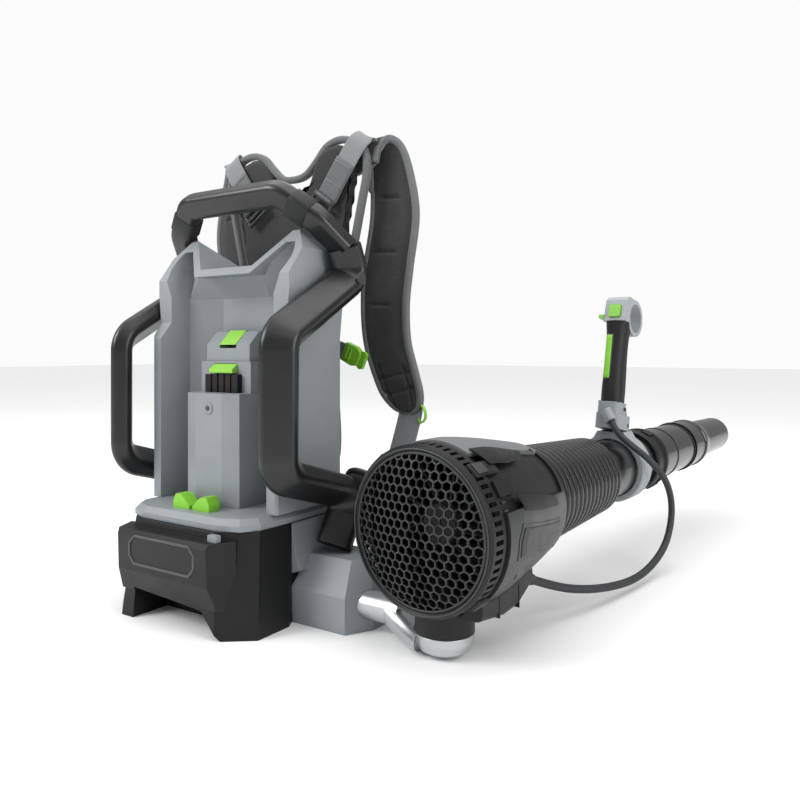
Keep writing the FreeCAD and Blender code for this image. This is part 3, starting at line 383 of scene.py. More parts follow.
def plastic(name, colour, roughness, grain=0.12, grain_scale=1400.0, variation=0.06, bevel=0.0011, coat=0.0,
            shine=0.4):
    """Moulded plastic: a fine grain, slightly uneven tone and softly rounded edges."""
    material, tree, shader = new_material(name)
    base = linear(colour)
    place = object_coordinates(tree)
    cloud = node(tree, "ShaderNodeTexNoise", Scale=14.0, Detail=3.0)
    fine = node(tree, "ShaderNodeTexNoise", Scale=grain_scale, Detail=2.0)
    patch = node(tree, "ShaderNodeTexNoise", Scale=45.0, Detail=4.0)
    for texture in (cloud, fine, patch):
        tree.links.new(place, texture.inputs["Vector"])
    low = tuple(c * (1 - variation) for c in base[:3]) + (1.0,)
    high = tuple(min(1.0, c * (1 + variation)) for c in base[:3]) + (1.0,)
    coloured(tree, shader, cloud.outputs["Fac"], low, high, 0.3, 0.7)
    bumped(tree, shader, fine.outputs["Fac"], grain, 0.0004, bevel)
    worn(tree, shader, patch.outputs["Fac"], roughness, 0.05, 0.3, 0.7)
    shader.inputs["Specular IOR Level"].default_value = shine
    shader.inputs["Coat Weight"].default_value = coat
    shader.inputs["Coat Roughness"].default_value = 0.25
    return material


def metal(name, colour, roughness, scale=500.0, bevel=0.0012):
    """Cast or turned metal with a fine grain."""
    material, tree, shader = new_material(name)
    shader.inputs["Base Color"].default_value = linear(colour)
    shader.inputs["Metallic"].default_value = 1.0
    fine = node(tree, "ShaderNodeTexNoise", Scale=scale, Detail=5.0)
    tree.links.new(object_coordinates(tree), fine.inputs["Vector"])
    worn(tree, shader, fine.outputs["Fac"], roughness, 0.12)
    bumped(tree, shader, fine.outputs["Fac"], 0.15, 0.0004, bevel)
    return material


def mesh_cloth(name, colour, light, pitch=0.0026):
    """Spacer mesh: rows of small open cells."""
    material, tree, shader = new_material(name)
    cells = node(tree, "ShaderNodeTexVoronoi", Scale=1.0 / pitch, Randomness=0.25)
    tree.links.new(object_coordinates(tree), cells.inputs["Vector"])
    coloured(tree, shader, cells.outputs["Distance"], linear(colour), linear(light), 0.25, 0.62)
    bumped(tree, shader, cells.outputs["Distance"], 0.6, 0.0008)
    shader.inputs["Roughness"].default_value = 0.85
    shader.inputs["Sheen Weight"].default_value = 0.25
    shader.inputs["Sheen Roughness"].default_value = 0.5
    return material


def woven(name, colour, light, pitch=0.0016):
    """Narrow webbing with crossing threads; follows the strip's own length where it has one."""
    material, tree, shader = new_material(name)
    place = tree.nodes.new("ShaderNodeUVMap")
    place.uv_map = "weave"
    both = node(tree, "ShaderNodeMath", operation="MULTIPLY")
    for index, (direction, share) in enumerate((("X", 0.5), ("Y", 0.32))):
        threads = node(tree, "ShaderNodeTexWave", Scale=share / pitch, Distortion=0.4)
        threads.bands_direction = direction
        tree.links.new(place.outputs["UV"], threads.inputs["Vector"])
        tree.links.new(threads.outputs["Fac"], both.inputs[index])
    coloured(tree, shader, both.outputs[0], linear(colour), linear(light))
    bumped(tree, shader, both.outputs[0], 0.4, 0.0005)
    shader.inputs["Roughness"].default_value = 0.8
    shader.inputs["Sheen Weight"].default_value = 0.2
    return material


BLACK = plastic("black_plastic", (17, 17, 18), 0.44, shine=0.32)
FRAME_BLACK = plastic("frame_black", (17, 17, 18), 0.33, grain=0.08, shine=0.5)
GLOSS_BLACK = plastic("gloss_black", (12, 12, 13), 0.16, grain=0.03, coat=0.3)
BADGE_BLACK = plastic("badge_black", (11, 11, 12), 0.3, grain=0.04, shine=0.3)
GREY = plastic("grey_plastic", (133, 138, 141), 0.42)
LIGHT_GREY = plastic("light_grey_plastic", (150, 155, 158), 0.4)
SADDLE_GREY = plastic("saddle_grey", (104, 106, 108), 0.4)
DARK_GREY = plastic("dark_grey_plastic", (52, 54, 55), 0.42)
GRILLE_GREY = plastic("grille_grey", (44, 45, 46), 0.42, bevel=0.0005)
PANEL_GREY = plastic("panel_grey", (46, 47, 48), 0.36)
# lighter grey for the badge rim on the base: a painted highlight on the rim's edge, not the rim's own colour
RIM_HIGHLIGHT_GREY = plastic("rim_painted_highlight", (66, 68, 69), 0.4, bevel=0)
SLEEVE_BLACK = plastic("sleeve_black", (30, 31, 32), 0.5, grain=0.2, shine=0.3)
GREEN = plastic("green_plastic", (124, 190, 52), 0.36, grain=0.05)
PALE_GREEN = plastic("pale_green", (140, 200, 72), 0.3, grain=0.03)
GRIP_RUBBER = plastic("grip_rubber", (18, 18, 19), 0.5, grain=0.3, grain_scale=900.0, shine=0.35)
BELLOWS_RUBBER = plastic("bellows_rubber", (12, 12, 13), 0.26, grain=0.06, bevel=0, shine=0.5)
CONDUIT = plastic("conduit_rubber", (44, 45, 47), 0.48, bevel=0)
ALUMINIUM = metal("cast_aluminium", (196, 198, 200), 0.38)
MOTOR = metal("motor_metal", (120, 122, 125), 0.45)
COPPER = metal("contact_brass", (205, 140, 95), 0.35, bevel=0.0004)
STEEL = metal("screw_steel", (90, 90, 92), 0.4)
MESH_CLOTH = mesh_cloth("pad_fabric", (19, 19, 20), (42, 42, 43))
BINDING = woven("edge_binding", (84, 86, 87), (124, 126, 127), 0.0013)
WEBBING = woven("webbing", (112, 114, 116), (150, 152, 153))
THREAD = plastic("thread", (120, 121, 122), 0.8, bevel=0)

CAD_MATERIALS = (
    (BLACK, "base_shell back_plate terminal_block swivel_collar intake_ring fan_housing power_pod impeller "
            "guide_vanes cable_gland tube_coupling"),
    (FRAME_BLACK, "guard_right guard_left carry_handle"),
    (GLOSS_BLACK, "front_tube mid_tube nozzle"),
    (BADGE_BLACK, "base_badge"),
    (GREY, "base_deck rail_block housing_shell dock_tower dock_cover arm_box handle_bracket"),
    (LIGHT_GREY, "handle_clamp handle_head"),
    (SADDLE_GREY, "top_saddle"),
    (PANEL_GREY, "side_panel"),
    (GRILLE_GREY, "intake_grille"),
    (GREEN, "deck_latch_right deck_latch_left turbo_button trigger cruise_lever chest_buckle"),
    (PALE_GREEN, "battery_latch release_button"),
    (GRIP_RUBBER, "handle_grip"),
    (BELLOWS_RUBBER, "bellows"),
    (CONDUIT, "control_cable"),
    (ALUMINIUM, "swivel_arm"),
    (MOTOR, "motor"),
    (COPPER, "terminal_blades"),
    (MESH_CLOTH, "back_pad yoke_pad shoulder_strap_right shoulder_strap_left hip_pad_right hip_pad_left"),
    (WEBBING, "load_lifter_right load_lifter_left strap_web_right strap_web_left chest_strap"),
)
for material, names in CAD_MATERIALS:
    for name in names.split():
        NODES[name].data.materials.clear()
        NODES[name].data.materials.append(material)


# ------------------------------------------------------------------ control cable

CABLE_ROUTE = [
    V(381, 98, 66), V(392, 152, 44), V(408, 205, 30), V(422, 265, 20), V(434, 335, 14), V(441, 400, 20),
    V(446, 456, 38), V(448, 484, 72), V(447, 486, 108), V(441, 466, 142), V(425, 440, 170),
    V(400, 432, 191), V(379, 430, 208), V(368, 435, 226),
]
CABLE_RADIUS = 0.00525


def nurbs_points(name, route):
    curve = bpy.data.curves.new(name, "CURVE")
    curve.dimensions = "3D"
    curve.resolution_u = 24
    spline = curve.splines.new("NURBS")
    spline.points.add(len(route) - 1)
    for point, place in zip(spline.points, route):
        point.co = (*place, 1.0)
    spline.order_u = 3
    spline.use_endpoint_u = True
    obj = bpy.data.objects.new(name, curve)
    bpy.context.scene.collection.objects.link(obj)
    bpy.context.view_layer.update()
    mesh = bpy.data.meshes.new_from_object(obj)
    points = [v.co.copy() for v in mesh.vertices]
    bpy.data.objects.remove(obj)
    bpy.data.curves.remove(curve)
    bpy.data.meshes.remove(mesh)
    return points


def carried_sides(points):
    """Side directions carried along a line without twisting."""
    along = tangents(points)
    side = along[0].orthogonal().normalized()
    result = []
    for direction in along:
        side = (side - direction * side.dot(direction)).normalized()
        result.append(side.copy())
    return result


cable_points = nurbs_points("control_cable_line", CABLE_ROUTE)
RIB_STEP, ROOT_RADIUS = 0.0009, 0.0047
ribbed = resampled(cable_points, RIB_STEP)
rib_rings = [oval(2 * r, 2 * r, 16, 2.0) for r in (CABLE_RADIUS, CABLE_RADIUS, ROOT_RADIUS, ROOT_RADIUS)]
cable = sweep("cable_conduit", ribbed, carried_sides(ribbed), lambda index: rib_rings[index % 4])
finish_piece(cable, CONDUIT, None)
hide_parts("control_cable")
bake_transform(cable)


# ------------------------------------------------------------------ bellows

BELLOWS_START, BELLOWS_LENGTH, BELLOWS_RIBS = 211.0, 211.0, 14
CUFF_RADIUS, CUFF_LENGTH = 65.0, 8.0
CREST_RADIUS, CREST_TAPER, RIB_HEIGHT = 66.0, 9.0, 6.5


def make_bellows():
    profile = [(BELLOWS_START, CUFF_RADIUS), (BELLOWS_START + CUFF_LENGTH, CUFF_RADIUS)]
    end = BELLOWS_START + BELLOWS_LENGTH
    step = (BELLOWS_LENGTH - 2 * CUFF_LENGTH) / BELLOWS_RIBS
    for index in range(BELLOWS_RIBS):
        station = BELLOWS_START + CUFF_LENGTH + index * step
        crest = CREST_RADIUS - CREST_TAPER * (index + 0.5) / BELLOWS_RIBS
        root = crest - RIB_HEIGHT
        profile += [(station + share * step, radius) for share, radius in (
            (0.10, root), (0.20, root + 0.8), (0.33, crest - 0.9), (0.42, crest - 0.1), (0.60, crest),
            (0.78, crest - 0.1), (0.87, crest - 0.9), (0.98, root + 0.8))]
    profile += [(end - 5, 51.0), (end, 50.0)]
    inner = [(end, 45.1), (end - 12, 45.1), (BELLOWS_START, 57.0)]
    obj = revolved("bellows_skin", profile + inner, ROUND_SEGMENTS)
    return finish_piece(obj, BELLOWS_RUBBER, None, BLOWER)


bellows = make_bellows()
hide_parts("bellows")
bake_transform(bellows)


# ------------------------------------------------------------------ padded pieces

# the share of its sideways movement that a point of a pad keeps
IN_PLANE_SHARE = 0.12
VOXEL = 0.005
CLOTH_FRAMES = 20


def inflated(obj, pressure, cap):
    """Swells a closed form with a short cloth simulation, and keeps each point near where it began."""
    remesh = obj.modifiers.new("remesh", "REMESH")
    remesh.mode = "VOXEL"
    remesh.voxel_size = VOXEL
    applied(obj)
    rest = [v.co.copy() for v in obj.data.vertices]
    cloth = obj.modifiers.new("cloth", "CLOTH")
    settings = cloth.settings
    settings.quality = 4
    settings.mass = 0.2
    settings.tension_stiffness = 12
    settings.compression_stiffness = 12
    settings.bending_stiffness = 0.6
    settings.use_pressure = True
    settings.uniform_pressure_force = pressure
    settings.effector_weights.gravity = 0.0
    cloth.collision_settings.use_collision = False
    cloth.collision_settings.use_self_collision = False
    cloth.point_cache.frame_start = 1
    cloth.point_cache.frame_end = CLOTH_FRAMES
    scene = bpy.context.scene
    for number in range(1, CLOTH_FRAMES + 1):
        scene.frame_set(number)
    applied(obj)
    scene.frame_set(1)
    for vertex, before in zip(obj.data.vertices, rest):
        moved = vertex.co - before
        moved.x *= IN_PLANE_SHARE
        moved.z *= IN_PLANE_SHARE
        if moved.length > cap:
            vertex.co = before + moved * (cap / moved.length)
    finer = obj.modifiers.new("finer", "SUBSURF")
    finer.levels = 1
    applied(obj)
    for polygon in obj.data.polygons:
        polygon.use_smooth = True
    return obj


def outline_pad(name, outline, low, high, inset, pressure, cap):
    """A pad from its XZ outline in mm, swollen between two Y heights.

    Gives the pad, its edge line and which way that line turns.
    """
    line = smooth_line([V(x, 0, z) for x, z in outline], 0.006, closed=True)
    along = tangents(line, True)
    area = sum(a.x * b.z - b.x * a.z for a, b in zip(line, line[1:] + line[:1]))
    turn = 1 if area > 0 else -1
    shrunk = []
    for point, direction in zip(line, along):
        outward = Vector((direction.z, 0, -direction.x)) * turn
        shrunk.append(point - outward * inset)
    count = len(shrunk)
    vertices = [Vector((p.x, y * MM, p.z)) for y in (low, high) for p in shrunk]
    faces = [list(range(count)), list(range(count, 2 * count))]
    for index in range(count):
        onward = (index + 1) % count
        faces.append([index, onward, count + onward, count + index])
    obj = mesh_object(name, vertices, faces)
    inflated(obj, pressure, cap)
    return obj, line, turn


def edge_binding(name, line, turn, y, width=0.009, height=0.010, inset=0.002):
    """A rounded strip along a closed line in XZ, at a Y height in mm."""
    along = tangents(line, True)
    sides = [Vector((d.z, 0, -d.x)) * turn for d in along]
    placed = [Vector((p.x, y * MM, p.z)) - s * inset for p, s in zip(line, sides)]
    return sweep(name, placed, sides, oval(width, height, 14, 2.8), closed=True)


def clamp_y(obj, low, high):
    for vertex in obj.data.vertices:
        vertex.co.y = min(max(vertex.co.y, low * MM), high * MM)


# back pad
BACK_OUTLINE = [(-88, 176), (0, 171), (88, 176), (90, 300), (89, 400), (82, 434), (60, 445), (0, 446),
                (-60, 445), (-82, 434), (-89, 400), (-90, 300)]
PAD_INSET = 0.005
BACK_SEAMS = (0.21, 0.28, 0.35, 0.41)
back_pad, back_line, back_turn = outline_pad("back_pad_cushion", BACK_OUTLINE, 88, 100, PAD_INSET, 5.0, 0.008)


def groove(obj, distance_at, depth, width):
    """Presses sewn lines into a pad; distance_at gives a point's distance from the nearest line."""
    for vertex in obj.data.vertices:
        distance = distance_at(vertex.co)
        if distance > 3 * width:
            continue
        push = depth * math.exp(-(distance / width) ** 2)
        vertex.co.y += push if vertex.normal.y < 0 else -push


groove(back_pad, lambda co: min(abs(co.z - level - 0.12 * abs(co.x)) for level in BACK_SEAMS), 0.0035, 0.0028)
clamp_y(back_pad, 84.2, 103.8)
finish_piece(back_pad, MESH_CLOTH, "backpack")
back_binding = edge_binding("back_pad_binding", back_line, back_turn, 95)
finish_piece(back_binding, BINDING, "backpack")
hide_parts("back_pad")

# yoke
YOKE_OUTLINE = [(0, 590), (22, 594), (42, 611), (60, 629), (84, 636), (110, 630), (130, 612), (133, 582),
                (124, 540), (110, 480), (100, 442), (86, 431), (0, 430),
                (-86, 431), (-100, 442), (-110, 480), (-124, 540), (-133, 582), (-130, 612), (-110, 630),
                (-84, 636), (-60, 629), (-42, 611), (-22, 594)]
yoke, yoke_line, yoke_turn = outline_pad("yoke_cushion", YOKE_OUTLINE, 107, 116, PAD_INSET, 4.0, 0.007)
YOKE_SEAM_X = 0.007
groove(yoke, lambda co: abs(abs(co.x) - YOKE_SEAM_X), 0.002, 0.002)
clamp_y(yoke, 104.7, 118.5)
finish_piece(yoke, MESH_CLOTH, "backpack")
yoke_binding = edge_binding("yoke_binding", yoke_line, yoke_turn, 111.6, 0.010, 0.013)
finish_piece(yoke_binding, BINDING, "backpack")
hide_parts("yoke_pad")


# ------------------------------------------------------------------ shoulder straps

STRAP_ROWS = 180
STRAP_COLUMNS = 28
# the rows over which the lower end narrows, and the share of the width that is left there
STRAP_TAIL = 16
TAIL_SHARE = 0.38
# heights in mm of the sewn darts and of the quilting lines at the lower end
DARTS = (549, 474, 400)
QUILTING = (302, 280)

def strap_edges(mirror):
    """Pairs of points on a shoulder strap's two edges, from the top down, with a rounded lower end."""
    inner = [(98, 120, 580), (101, 121, 606), (108, 128, 622), (116, 140, 612), (118, 143, 575),
             (117, 143, 520), (104, 143, 450), (101, 143, 400), (105, 143, 352), (116, 142.6, 316),
             (134, 142.6, 276), (150, 142.6, 252)]
    outer = [(142, 120, 596), (146, 121, 616), (158, 128, 630), (172, 140, 618), (186, 143, 575),
             (194, 143, 520), (184, 143, 450), (178, 143, 400), (180, 143, 352), (190, 142.6, 316),
             (202, 142.6, 276), (208, 142.6, 252)]
    sign = -1 if mirror else 1
    left = smooth_line([V(sign * x, y, z) for x, y, z in inner], 0.0015)
    right = smooth_line([V(sign * x, y, z) for x, y, z in outer], 0.0015)
    pairs = []
    for index in range(STRAP_ROWS + 1):
        share = index / STRAP_ROWS
        a = left[round(share * (len(left) - 1))]
        b = right[round(share * (len(right) - 1))]
        pairs.append((a.copy(), b.copy()))
    for index in range(STRAP_ROWS - STRAP_TAIL, STRAP_ROWS + 1):
        share = (index - (STRAP_ROWS - STRAP_TAIL)) / STRAP_TAIL
        keep = math.sqrt(max(0.0, 1 - share ** 2)) * (1 - TAIL_SHARE) + TAIL_SHARE
        a, b = pairs[index]
        middle = (a + b) / 2
        pairs[index] = (middle + (a - middle) * keep, middle + (b - middle) * keep)
    return pairs


def strap_dent(u, z):
    """How deep the mesh face is pressed in, in mm, at a share u of the width and a height z."""
    dent = 0.0
    for level in DARTS:
        line = level - 6 * (u - 0.5)
        if 0.16 < u < 0.74:
            fade = min(1.0, (u - 0.16) / 0.1, (0.74 - u) / 0.1)
            offset = z - line
            dent += fade * (3.6 * math.exp(-(offset / 2.2) ** 2)
                            + (1.6 * math.exp(-offset / 18) if offset > 0 else 0.0))
    for level in QUILTING:
        line = level + 14 * (u - 0.5)
        if 0.1 < u < 0.9:
            dent += 3.2 * math.exp(-((z - line) / 2.4) ** 2)
    if z < 318:
        for side in (0.24, 0.78):
            dent += 2.6 * math.exp(-((u - side) * 70 / 2.4) ** 2) * (1 if z > 262 else 0.4)
    return dent


def make_strap(mirror):
    side_name = "left" if mirror else "right"
    pairs = strap_edges(mirror)
    vertices = []
    faces = []
    rows = len(pairs)
    middle_line = [(a + b) / 2 for a, b in pairs]
    along = tangents(middle_line)
    ring = 2 * (STRAP_COLUMNS + 1)
    for index, (a, b) in enumerate(pairs):
        side = (b - a).normalized()
        facing = side.cross(along[index]).normalized()
        if mirror:
            facing = -facing
        front, back = [], []
        for step in range(STRAP_COLUMNS + 1):
            u = step / STRAP_COLUMNS
            point = a.lerp(b, 0.03 + 0.94 * u)
            crown = 1 - abs(2 * u - 1) ** 2.4
            ripple = 0.5 * noise.noise(Vector((point.x * 60, point.z * 60, 3.0)))
            depth_front = 3.2 + 3.9 * crown + ripple * crown
            depth_back = 3.0 + 3.6 * crown
            if index > rows * 0.16:
                depth_front -= strap_dent(u, point.z / MM) * min(1.0, crown * 2.2)
            front.append(point - facing * depth_front * MM)
            back.append(point + facing * depth_back * MM)
        vertices += front + list(reversed(back))
    for row in range(rows - 1):
        for step in range(ring):
            onward = (step + 1) % ring
            base = row * ring
            faces.append([base + step, base + onward, base + ring + onward, base + ring + step])
    faces.append(list(range(ring)))
    faces.append(list(range((rows - 1) * ring, rows * ring)))
    strap = mesh_object("shoulder_cushion_" + side_name, vertices, faces)
    finish_piece(strap, MESH_CLOTH, "backpack")
    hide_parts("shoulder_strap_" + side_name)
    loop = [a for a, b in pairs] + [b for a, b in reversed(pairs)]
    loop = resampled(loop, 0.003)
    sides = []
    for point in loop:
        centre = min(middle_line, key=lambda p: (p - point).length_squared)
        sides.append((point - centre).normalized() if (point - centre).length > 1e-5 else X_AXIS)
    placed = [p - s * 0.0028 for p, s in zip(loop, sides)]
    binding = sweep("shoulder_binding_" + side_name, placed, sides, oval(0.010, 0.0105, 14, 2.8))
    finish_piece(binding, BINDING, "backpack")


make_strap(False)
make_strap(True)


# ------------------------------------------------------------------ webbing and buckles

def ladder_lock(name, centre, direction, across, width):
    """A dark buckle: a rounded bar frame that the webbing doubles round."""
    along = Vector(direction).normalized()
    side = Vector(across).normalized()
    side = (side - along * side.dot(along)).normalized()
    up = side.cross(along)
    pieces = []
    middle = V(*centre) - up * 2.5 * MM
    for offset, thick in ((-9, 9), (3, 5), (11, 4)):
        start = middle + along * offset * MM - side * width / 2 * MM
        pieces.append(straight_bar(name + "_bar", start, start + side * width * MM, along,
                                   oval(thick * MM, 5.5 * MM, 12, 3)))
    for end_side in (-1, 1):
        start = middle - along * 11 * MM + side * end_side * (width / 2 - 1.5) * MM
        pieces.append(straight_bar(name + "_side", start, start + along * 24 * MM, side,
                                   oval(4 * MM, 5 * MM, 12, 3)))
    obj = joined(name, pieces)
    return finish_piece(obj, DARK_GREY, "backpack")


def make_lifter(mirror):
    sign = -1 if mirror else 1
    side_name = "left" if mirror else "right"
    lean = (1, 0, -0.62 * sign)
    points = [V(sign * 131, 120, 626), V(sign * 129, 113, 633), V(sign * 122, 103, 624),
              V(sign * 108, 100.4, 604), V(sign * 88, 99.6, 576), V(sign * 70, 100, 550)]
    strap = ribbon("load_lifter_webbing_" + side_name, points, lean, 0.034)
    finish_piece(strap, WEBBING, "backpack")
    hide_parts("load_lifter_" + side_name)
    second = ribbon("load_lifter_fold_" + side_name,
                    [V(sign * 104, 97.6, 598), V(sign * 92, 97.0, 581), V(sign * 80, 96.8, 564),
                     V(sign * 71, 97, 552)], lean, 0.0345, 0.003)
    finish_piece(second, BINDING, "backpack")
    half_stitch = Vector(lean).normalized() * 15 * MM
    for height in (594, 570):
        centre = V(sign * (104 + (height - 598) * 0.71), 95.4, height)
        stitch = straight_bar("lifter_stitch_%s_%d" % (side_name, height), centre - half_stitch,
                              centre + half_stitch, Y_AXIS, oval(0.001, 0.0014, 8, 2), 8)
        finish_piece(stitch, THREAD, "backpack")
    ladder_lock("ladder_lock_" + side_name, (sign * 64, 97, 543), (sign * -0.57, 0, -0.82), lean, 40)


make_lifter(False)
make_lifter(True)


def make_strap_web(mirror):
    sign = -1 if mirror else 1
    side_name = "left" if mirror else "right"
    points = [V(sign * 184, 142, 256), V(sign * 183, 138, 240), V(sign * 176, 124, 190),
              V(sign * 166, 106, 140), V(sign * 160, 99, 121)]
    web = ribbon("strap_webbing_" + side_name, points, X_AXIS, 0.038)
    finish_piece(web, WEBBING, "backpack")
    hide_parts("strap_web_" + side_name)
    loop_points = [V(sign * 203, 140, 262), V(sign * 209, 138, 254), V(sign * 210, 137, 245),
                   V(sign * 204, 137, 238), V(sign * 199, 138, 244)]
    tab = ribbon("strap_loop_" + side_name, loop_points, Y_AXIS, 0.006, 0.0016, 0.002)
    finish_piece(tab, GREEN, "backpack")
    ladder_lock("strap_adjuster_" + side_name, (sign * 173, 116, 176), (sign * -0.2, -0.3, -0.9), X_AXIS, 44)


make_strap_web(False)
make_strap_web(True)


def make_hip_pad(mirror):
    sign = -1 if mirror else 1
    side_name = "left" if mirror else "right"
    outline = [(121, 100), (145, 88), (168, 86), (177, 110), (176, 140), (170, 164), (150, 176), (122, 170)]
    placed = [(sign * x, z) for x, z in outline]
    pad, line, turn = outline_pad("hip_cushion_" + side_name, placed, 71, 87, 0.004, 4.0, 0.006)
    clamp_y(pad, 66.5, 91.5)
    finish_piece(pad, MESH_CLOTH, "backpack")
    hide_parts("hip_pad_" + side_name)
    binding = edge_binding("hip_binding_" + side_name, line, turn, 79, 0.007, 0.010)
    finish_piece(binding, DARK_GREY, "backpack")


make_hip_pad(False)
make_hip_pad(True)

chest = ribbon("chest_webbing", [V(-112, 130, 336), V(-60, 129, 332), V(0, 128.6, 330), V(44, 129, 336),
                                 V(66, 130, 338), V(88, 130, 330)], Z_AXIS, 0.025)
finish_piece(chest, WEBBING, "backpack")
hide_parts("chest_strap")
BUCKLE = Matrix.Translation(V(97, 129.4, 328)) @ Matrix.Rotation(math.radians(24), 4, "Y")
SOCKET = [(-20, -14), (0, -14.5), (9, -11), (11, -6), (11, 6), (9, 11), (0, 14.5), (-20, 14)]
PRONGS = [(10, -12), (15, -13.6), (20, -11), (20, 11), (15, 13.6), (10, 12)]
buckle_pieces = [prism("buckle_socket", SOCKET, -4.6, 4.6, "y", 0.0016),
                 prism("buckle_prongs", PRONGS, -3.2, 3.2, "y", 0.001)]
for x in (-14, -8):
    buckle_pieces.append(block("buckle_rib", (x, -5.6, -9), (x + 3, -4.2, 9), 0.0005))
buckle = joined("chest_release_buckle", buckle_pieces)
finish_piece(buckle, GREEN, "backpack", BUCKLE)
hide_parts("chest_buckle")


# ------------------------------------------------------------------ housing details

# sleeves and knobs on the carry frame
SLEEVE_LENGTH, SLEEVE_WIDTH, SLEEVE_THICKNESS = 30, 36.4, 28.4


def band_sleeve(name, centre, direction, wide):
    """A sleeve round the bar, a little smaller at its two ends; centre is in mm."""
    line = [(centre + direction * (share - 0.5) * SLEEVE_LENGTH) * MM for share in (0, 0.04, 0.5, 0.96, 1)]
    rings = [[(a * grow, b * grow) for a, b in oval(SLEEVE_WIDTH * MM, SLEEVE_THICKNESS * MM, 28, 5.0)]
             for grow in (0.96, 1.0, 1.0, 1.0, 0.96)]
    obj = sweep(name, line, [wide.normalized()] * len(line), lambda index: rings[index])
    finish_piece(obj, SLEEVE_BLACK, "backpack")


slope = Vector((0, -0.566, 0.824))
for sign, label in ((1, "right"), (-1, "left")):
    sleeve_mid = Vector((sign * 126, -12, 537)) - slope * 42
    top_turn = (Vector((sign * 82, -12, 537)) - sleeve_mid).normalized()
    band_sleeve("handle_sleeve_" + label, sleeve_mid + top_turn * 27, top_turn,
                slope.cross(top_turn).cross(top_turn))
    stem = disc("strap_knob_stem", (sign * 156, 50, 429), (sign, 0, 0), 4.2, 9)
    head = disc("strap_knob_head", (sign * 164.5, 50, 429), (sign, 0, 0), 8.6, 4.5, bevel=0.0016)
    finish_piece(stem, BLACK, "backpack")
    finish_piece(head, DARK_GREY, "backpack")

finish_piece(disc("dock_screw", (0, -57.4, 262), (0, -1, 0), 3.4, 0.8), STEEL, "backpack")

# the raised rim round the plain plate on the base: the rim is real, but its lighter grey than the plate is a
# painted highlight on its edge
PLATE_HALF, PLATE_LOW, PLATE_HIGH, PLATE_CORNER = 60.0, 70.0, 108.0, 10.0
plate_line = [(-PLATE_HALF + PLATE_CORNER, PLATE_LOW), (PLATE_HALF - PLATE_CORNER, PLATE_LOW),
              (PLATE_HALF, PLATE_LOW + PLATE_CORNER), (PLATE_HALF, PLATE_HIGH - PLATE_CORNER),
              (PLATE_HALF - PLATE_CORNER, PLATE_HIGH), (-PLATE_HALF + PLATE_CORNER, PLATE_HIGH),
              (-PLATE_HALF, PLATE_HIGH - PLATE_CORNER), (-PLATE_HALF, PLATE_LOW + PLATE_CORNER)]
plate_points = [V(x, 0, z) for x, z in plate_line]
plate_rim = edge_binding("badge_rim", resampled(plate_points + plate_points[:1], 0.004, True), 1, -131.7,
                         0.0034, 0.0022, 0.0016)
finish_piece(plate_rim, RIM_HIGHLIGHT_GREY, "backpack")


# ------------------------------------------------------------------ blower details

def on_blower(obj, material, body="blower"):
    return finish_piece(obj, material, body, BLOWER)


HOUSING_RADIUS, HOUSING_TAPER, TAPER_START, TAPER_LENGTH = 89.0, 23.0, 60, 151.0


def housing_radius(station):
    """The fan housing's outside radius in mm at a distance from the intake."""
    share = max(0.0, (station - TAPER_START) / TAPER_LENGTH)
    return HOUSING_RADIUS - HOUSING_TAPER * share ** 1.2


def curved_plate(name, outline, lift, thickness, material):
    """A plate that follows the round housing; the outline is (station, angle in degrees)."""
    parts, rings = 6, 5
    dense = []
    for (s0, a0), (s1, a1) in zip(outline, outline[1:] + outline[:1]):
        for part in range(parts):
            dense.append((s0 + (s1 - s0) * part / parts, a0 + (a1 - a0) * part / parts))
    middle = (sum(s for s, a in dense) / len(dense), sum(a for s, a in dense) / len(dense))
    vertices = []
    for level in (0, 1):
        for ring in range(rings + 1):
            share = ring / rings
            for s, a in dense:
                station = middle[0] + (s - middle[0]) * share
                angle = math.radians(middle[1] + (a - middle[1]) * share)
                radius = housing_radius(station) + lift + (thickness if level else 0)
                vertices.append(V(radius * math.cos(angle), station, radius * math.sin(angle)))
    size = len(dense)
    faces = []
    layer = size * (rings + 1)
    for level in (0, 1):
        for ring in range(rings):
            for step in range(size):
                onward = (step + 1) % size
                base = level * layer + ring * size
                faces.append([base + step, base + onward, base + size + onward, base + size + step])
    for step in range(size):
        onward = (step + 1) % size
        faces.append([rings * size + step, rings * size + onward,
                      layer + rings * size + onward, layer + rings * size + step])
    obj = mesh_object(name, vertices, faces, smooth=False)
    built = bmesh.new()
    built.from_mesh(obj.data)
    bmesh.ops.remove_doubles(built, verts=built.verts, dist=1e-6)
    bmesh.ops.recalc_face_normals(built, faces=built.faces)
    built.to_mesh(obj.data)
    built.free()
    bevelled(obj, 0.0006, angle=50)
    return on_blower(obj, material)


# the plain badge field and its rim on the side panel, the saddle's dark wedge and the step above the panel
curved_plate("side_badge", [(52, -14), (150, -24), (168, -16), (166, -6), (58, 4), (50, -4)],
             7.2, 1.4, BADGE_BLACK)
curved_plate("side_badge_rim", [(48, -16), (152, -27), (173, -17), (170, -4), (56, 7), (46, -3)],
             7.0, 0.8, DARK_GREY)
curved_plate("saddle_wedge", [(36, 65), (80, 63), (138, 58), (116, 50), (76, 47), (42, 49)],
             7.0, 1.6, BADGE_BLACK)
curved_plate("side_upper_step", [(56, 25), (120, 20), (160, 16), (168, 7), (108, 10), (66, 14)],
             6.6, 1.6, BLACK)

# the honeycomb of the intake, whose cells run out to the rim
GRILLE_RADIUS, GRILLE_RISE, RIM_WIDTH = 86.0, 17.0, 2.0
CELL_PITCH, CELL_WEB, CELL_DEPTH, SHORTEST_WEB = 10.3, 1.9, 3.0, 0.4
DOME_RADIUS = (GRILLE_RADIUS ** 2 + GRILLE_RISE ** 2) / (2 * GRILLE_RISE)


def dome_point(x, z, depth):
    """A point on the intake's dome, at a depth in mm below its outside."""
    radius = DOME_RADIUS - depth
    return V(x, DOME_RADIUS - GRILLE_RISE - math.sqrt(radius ** 2 - x * x - z * z), z)


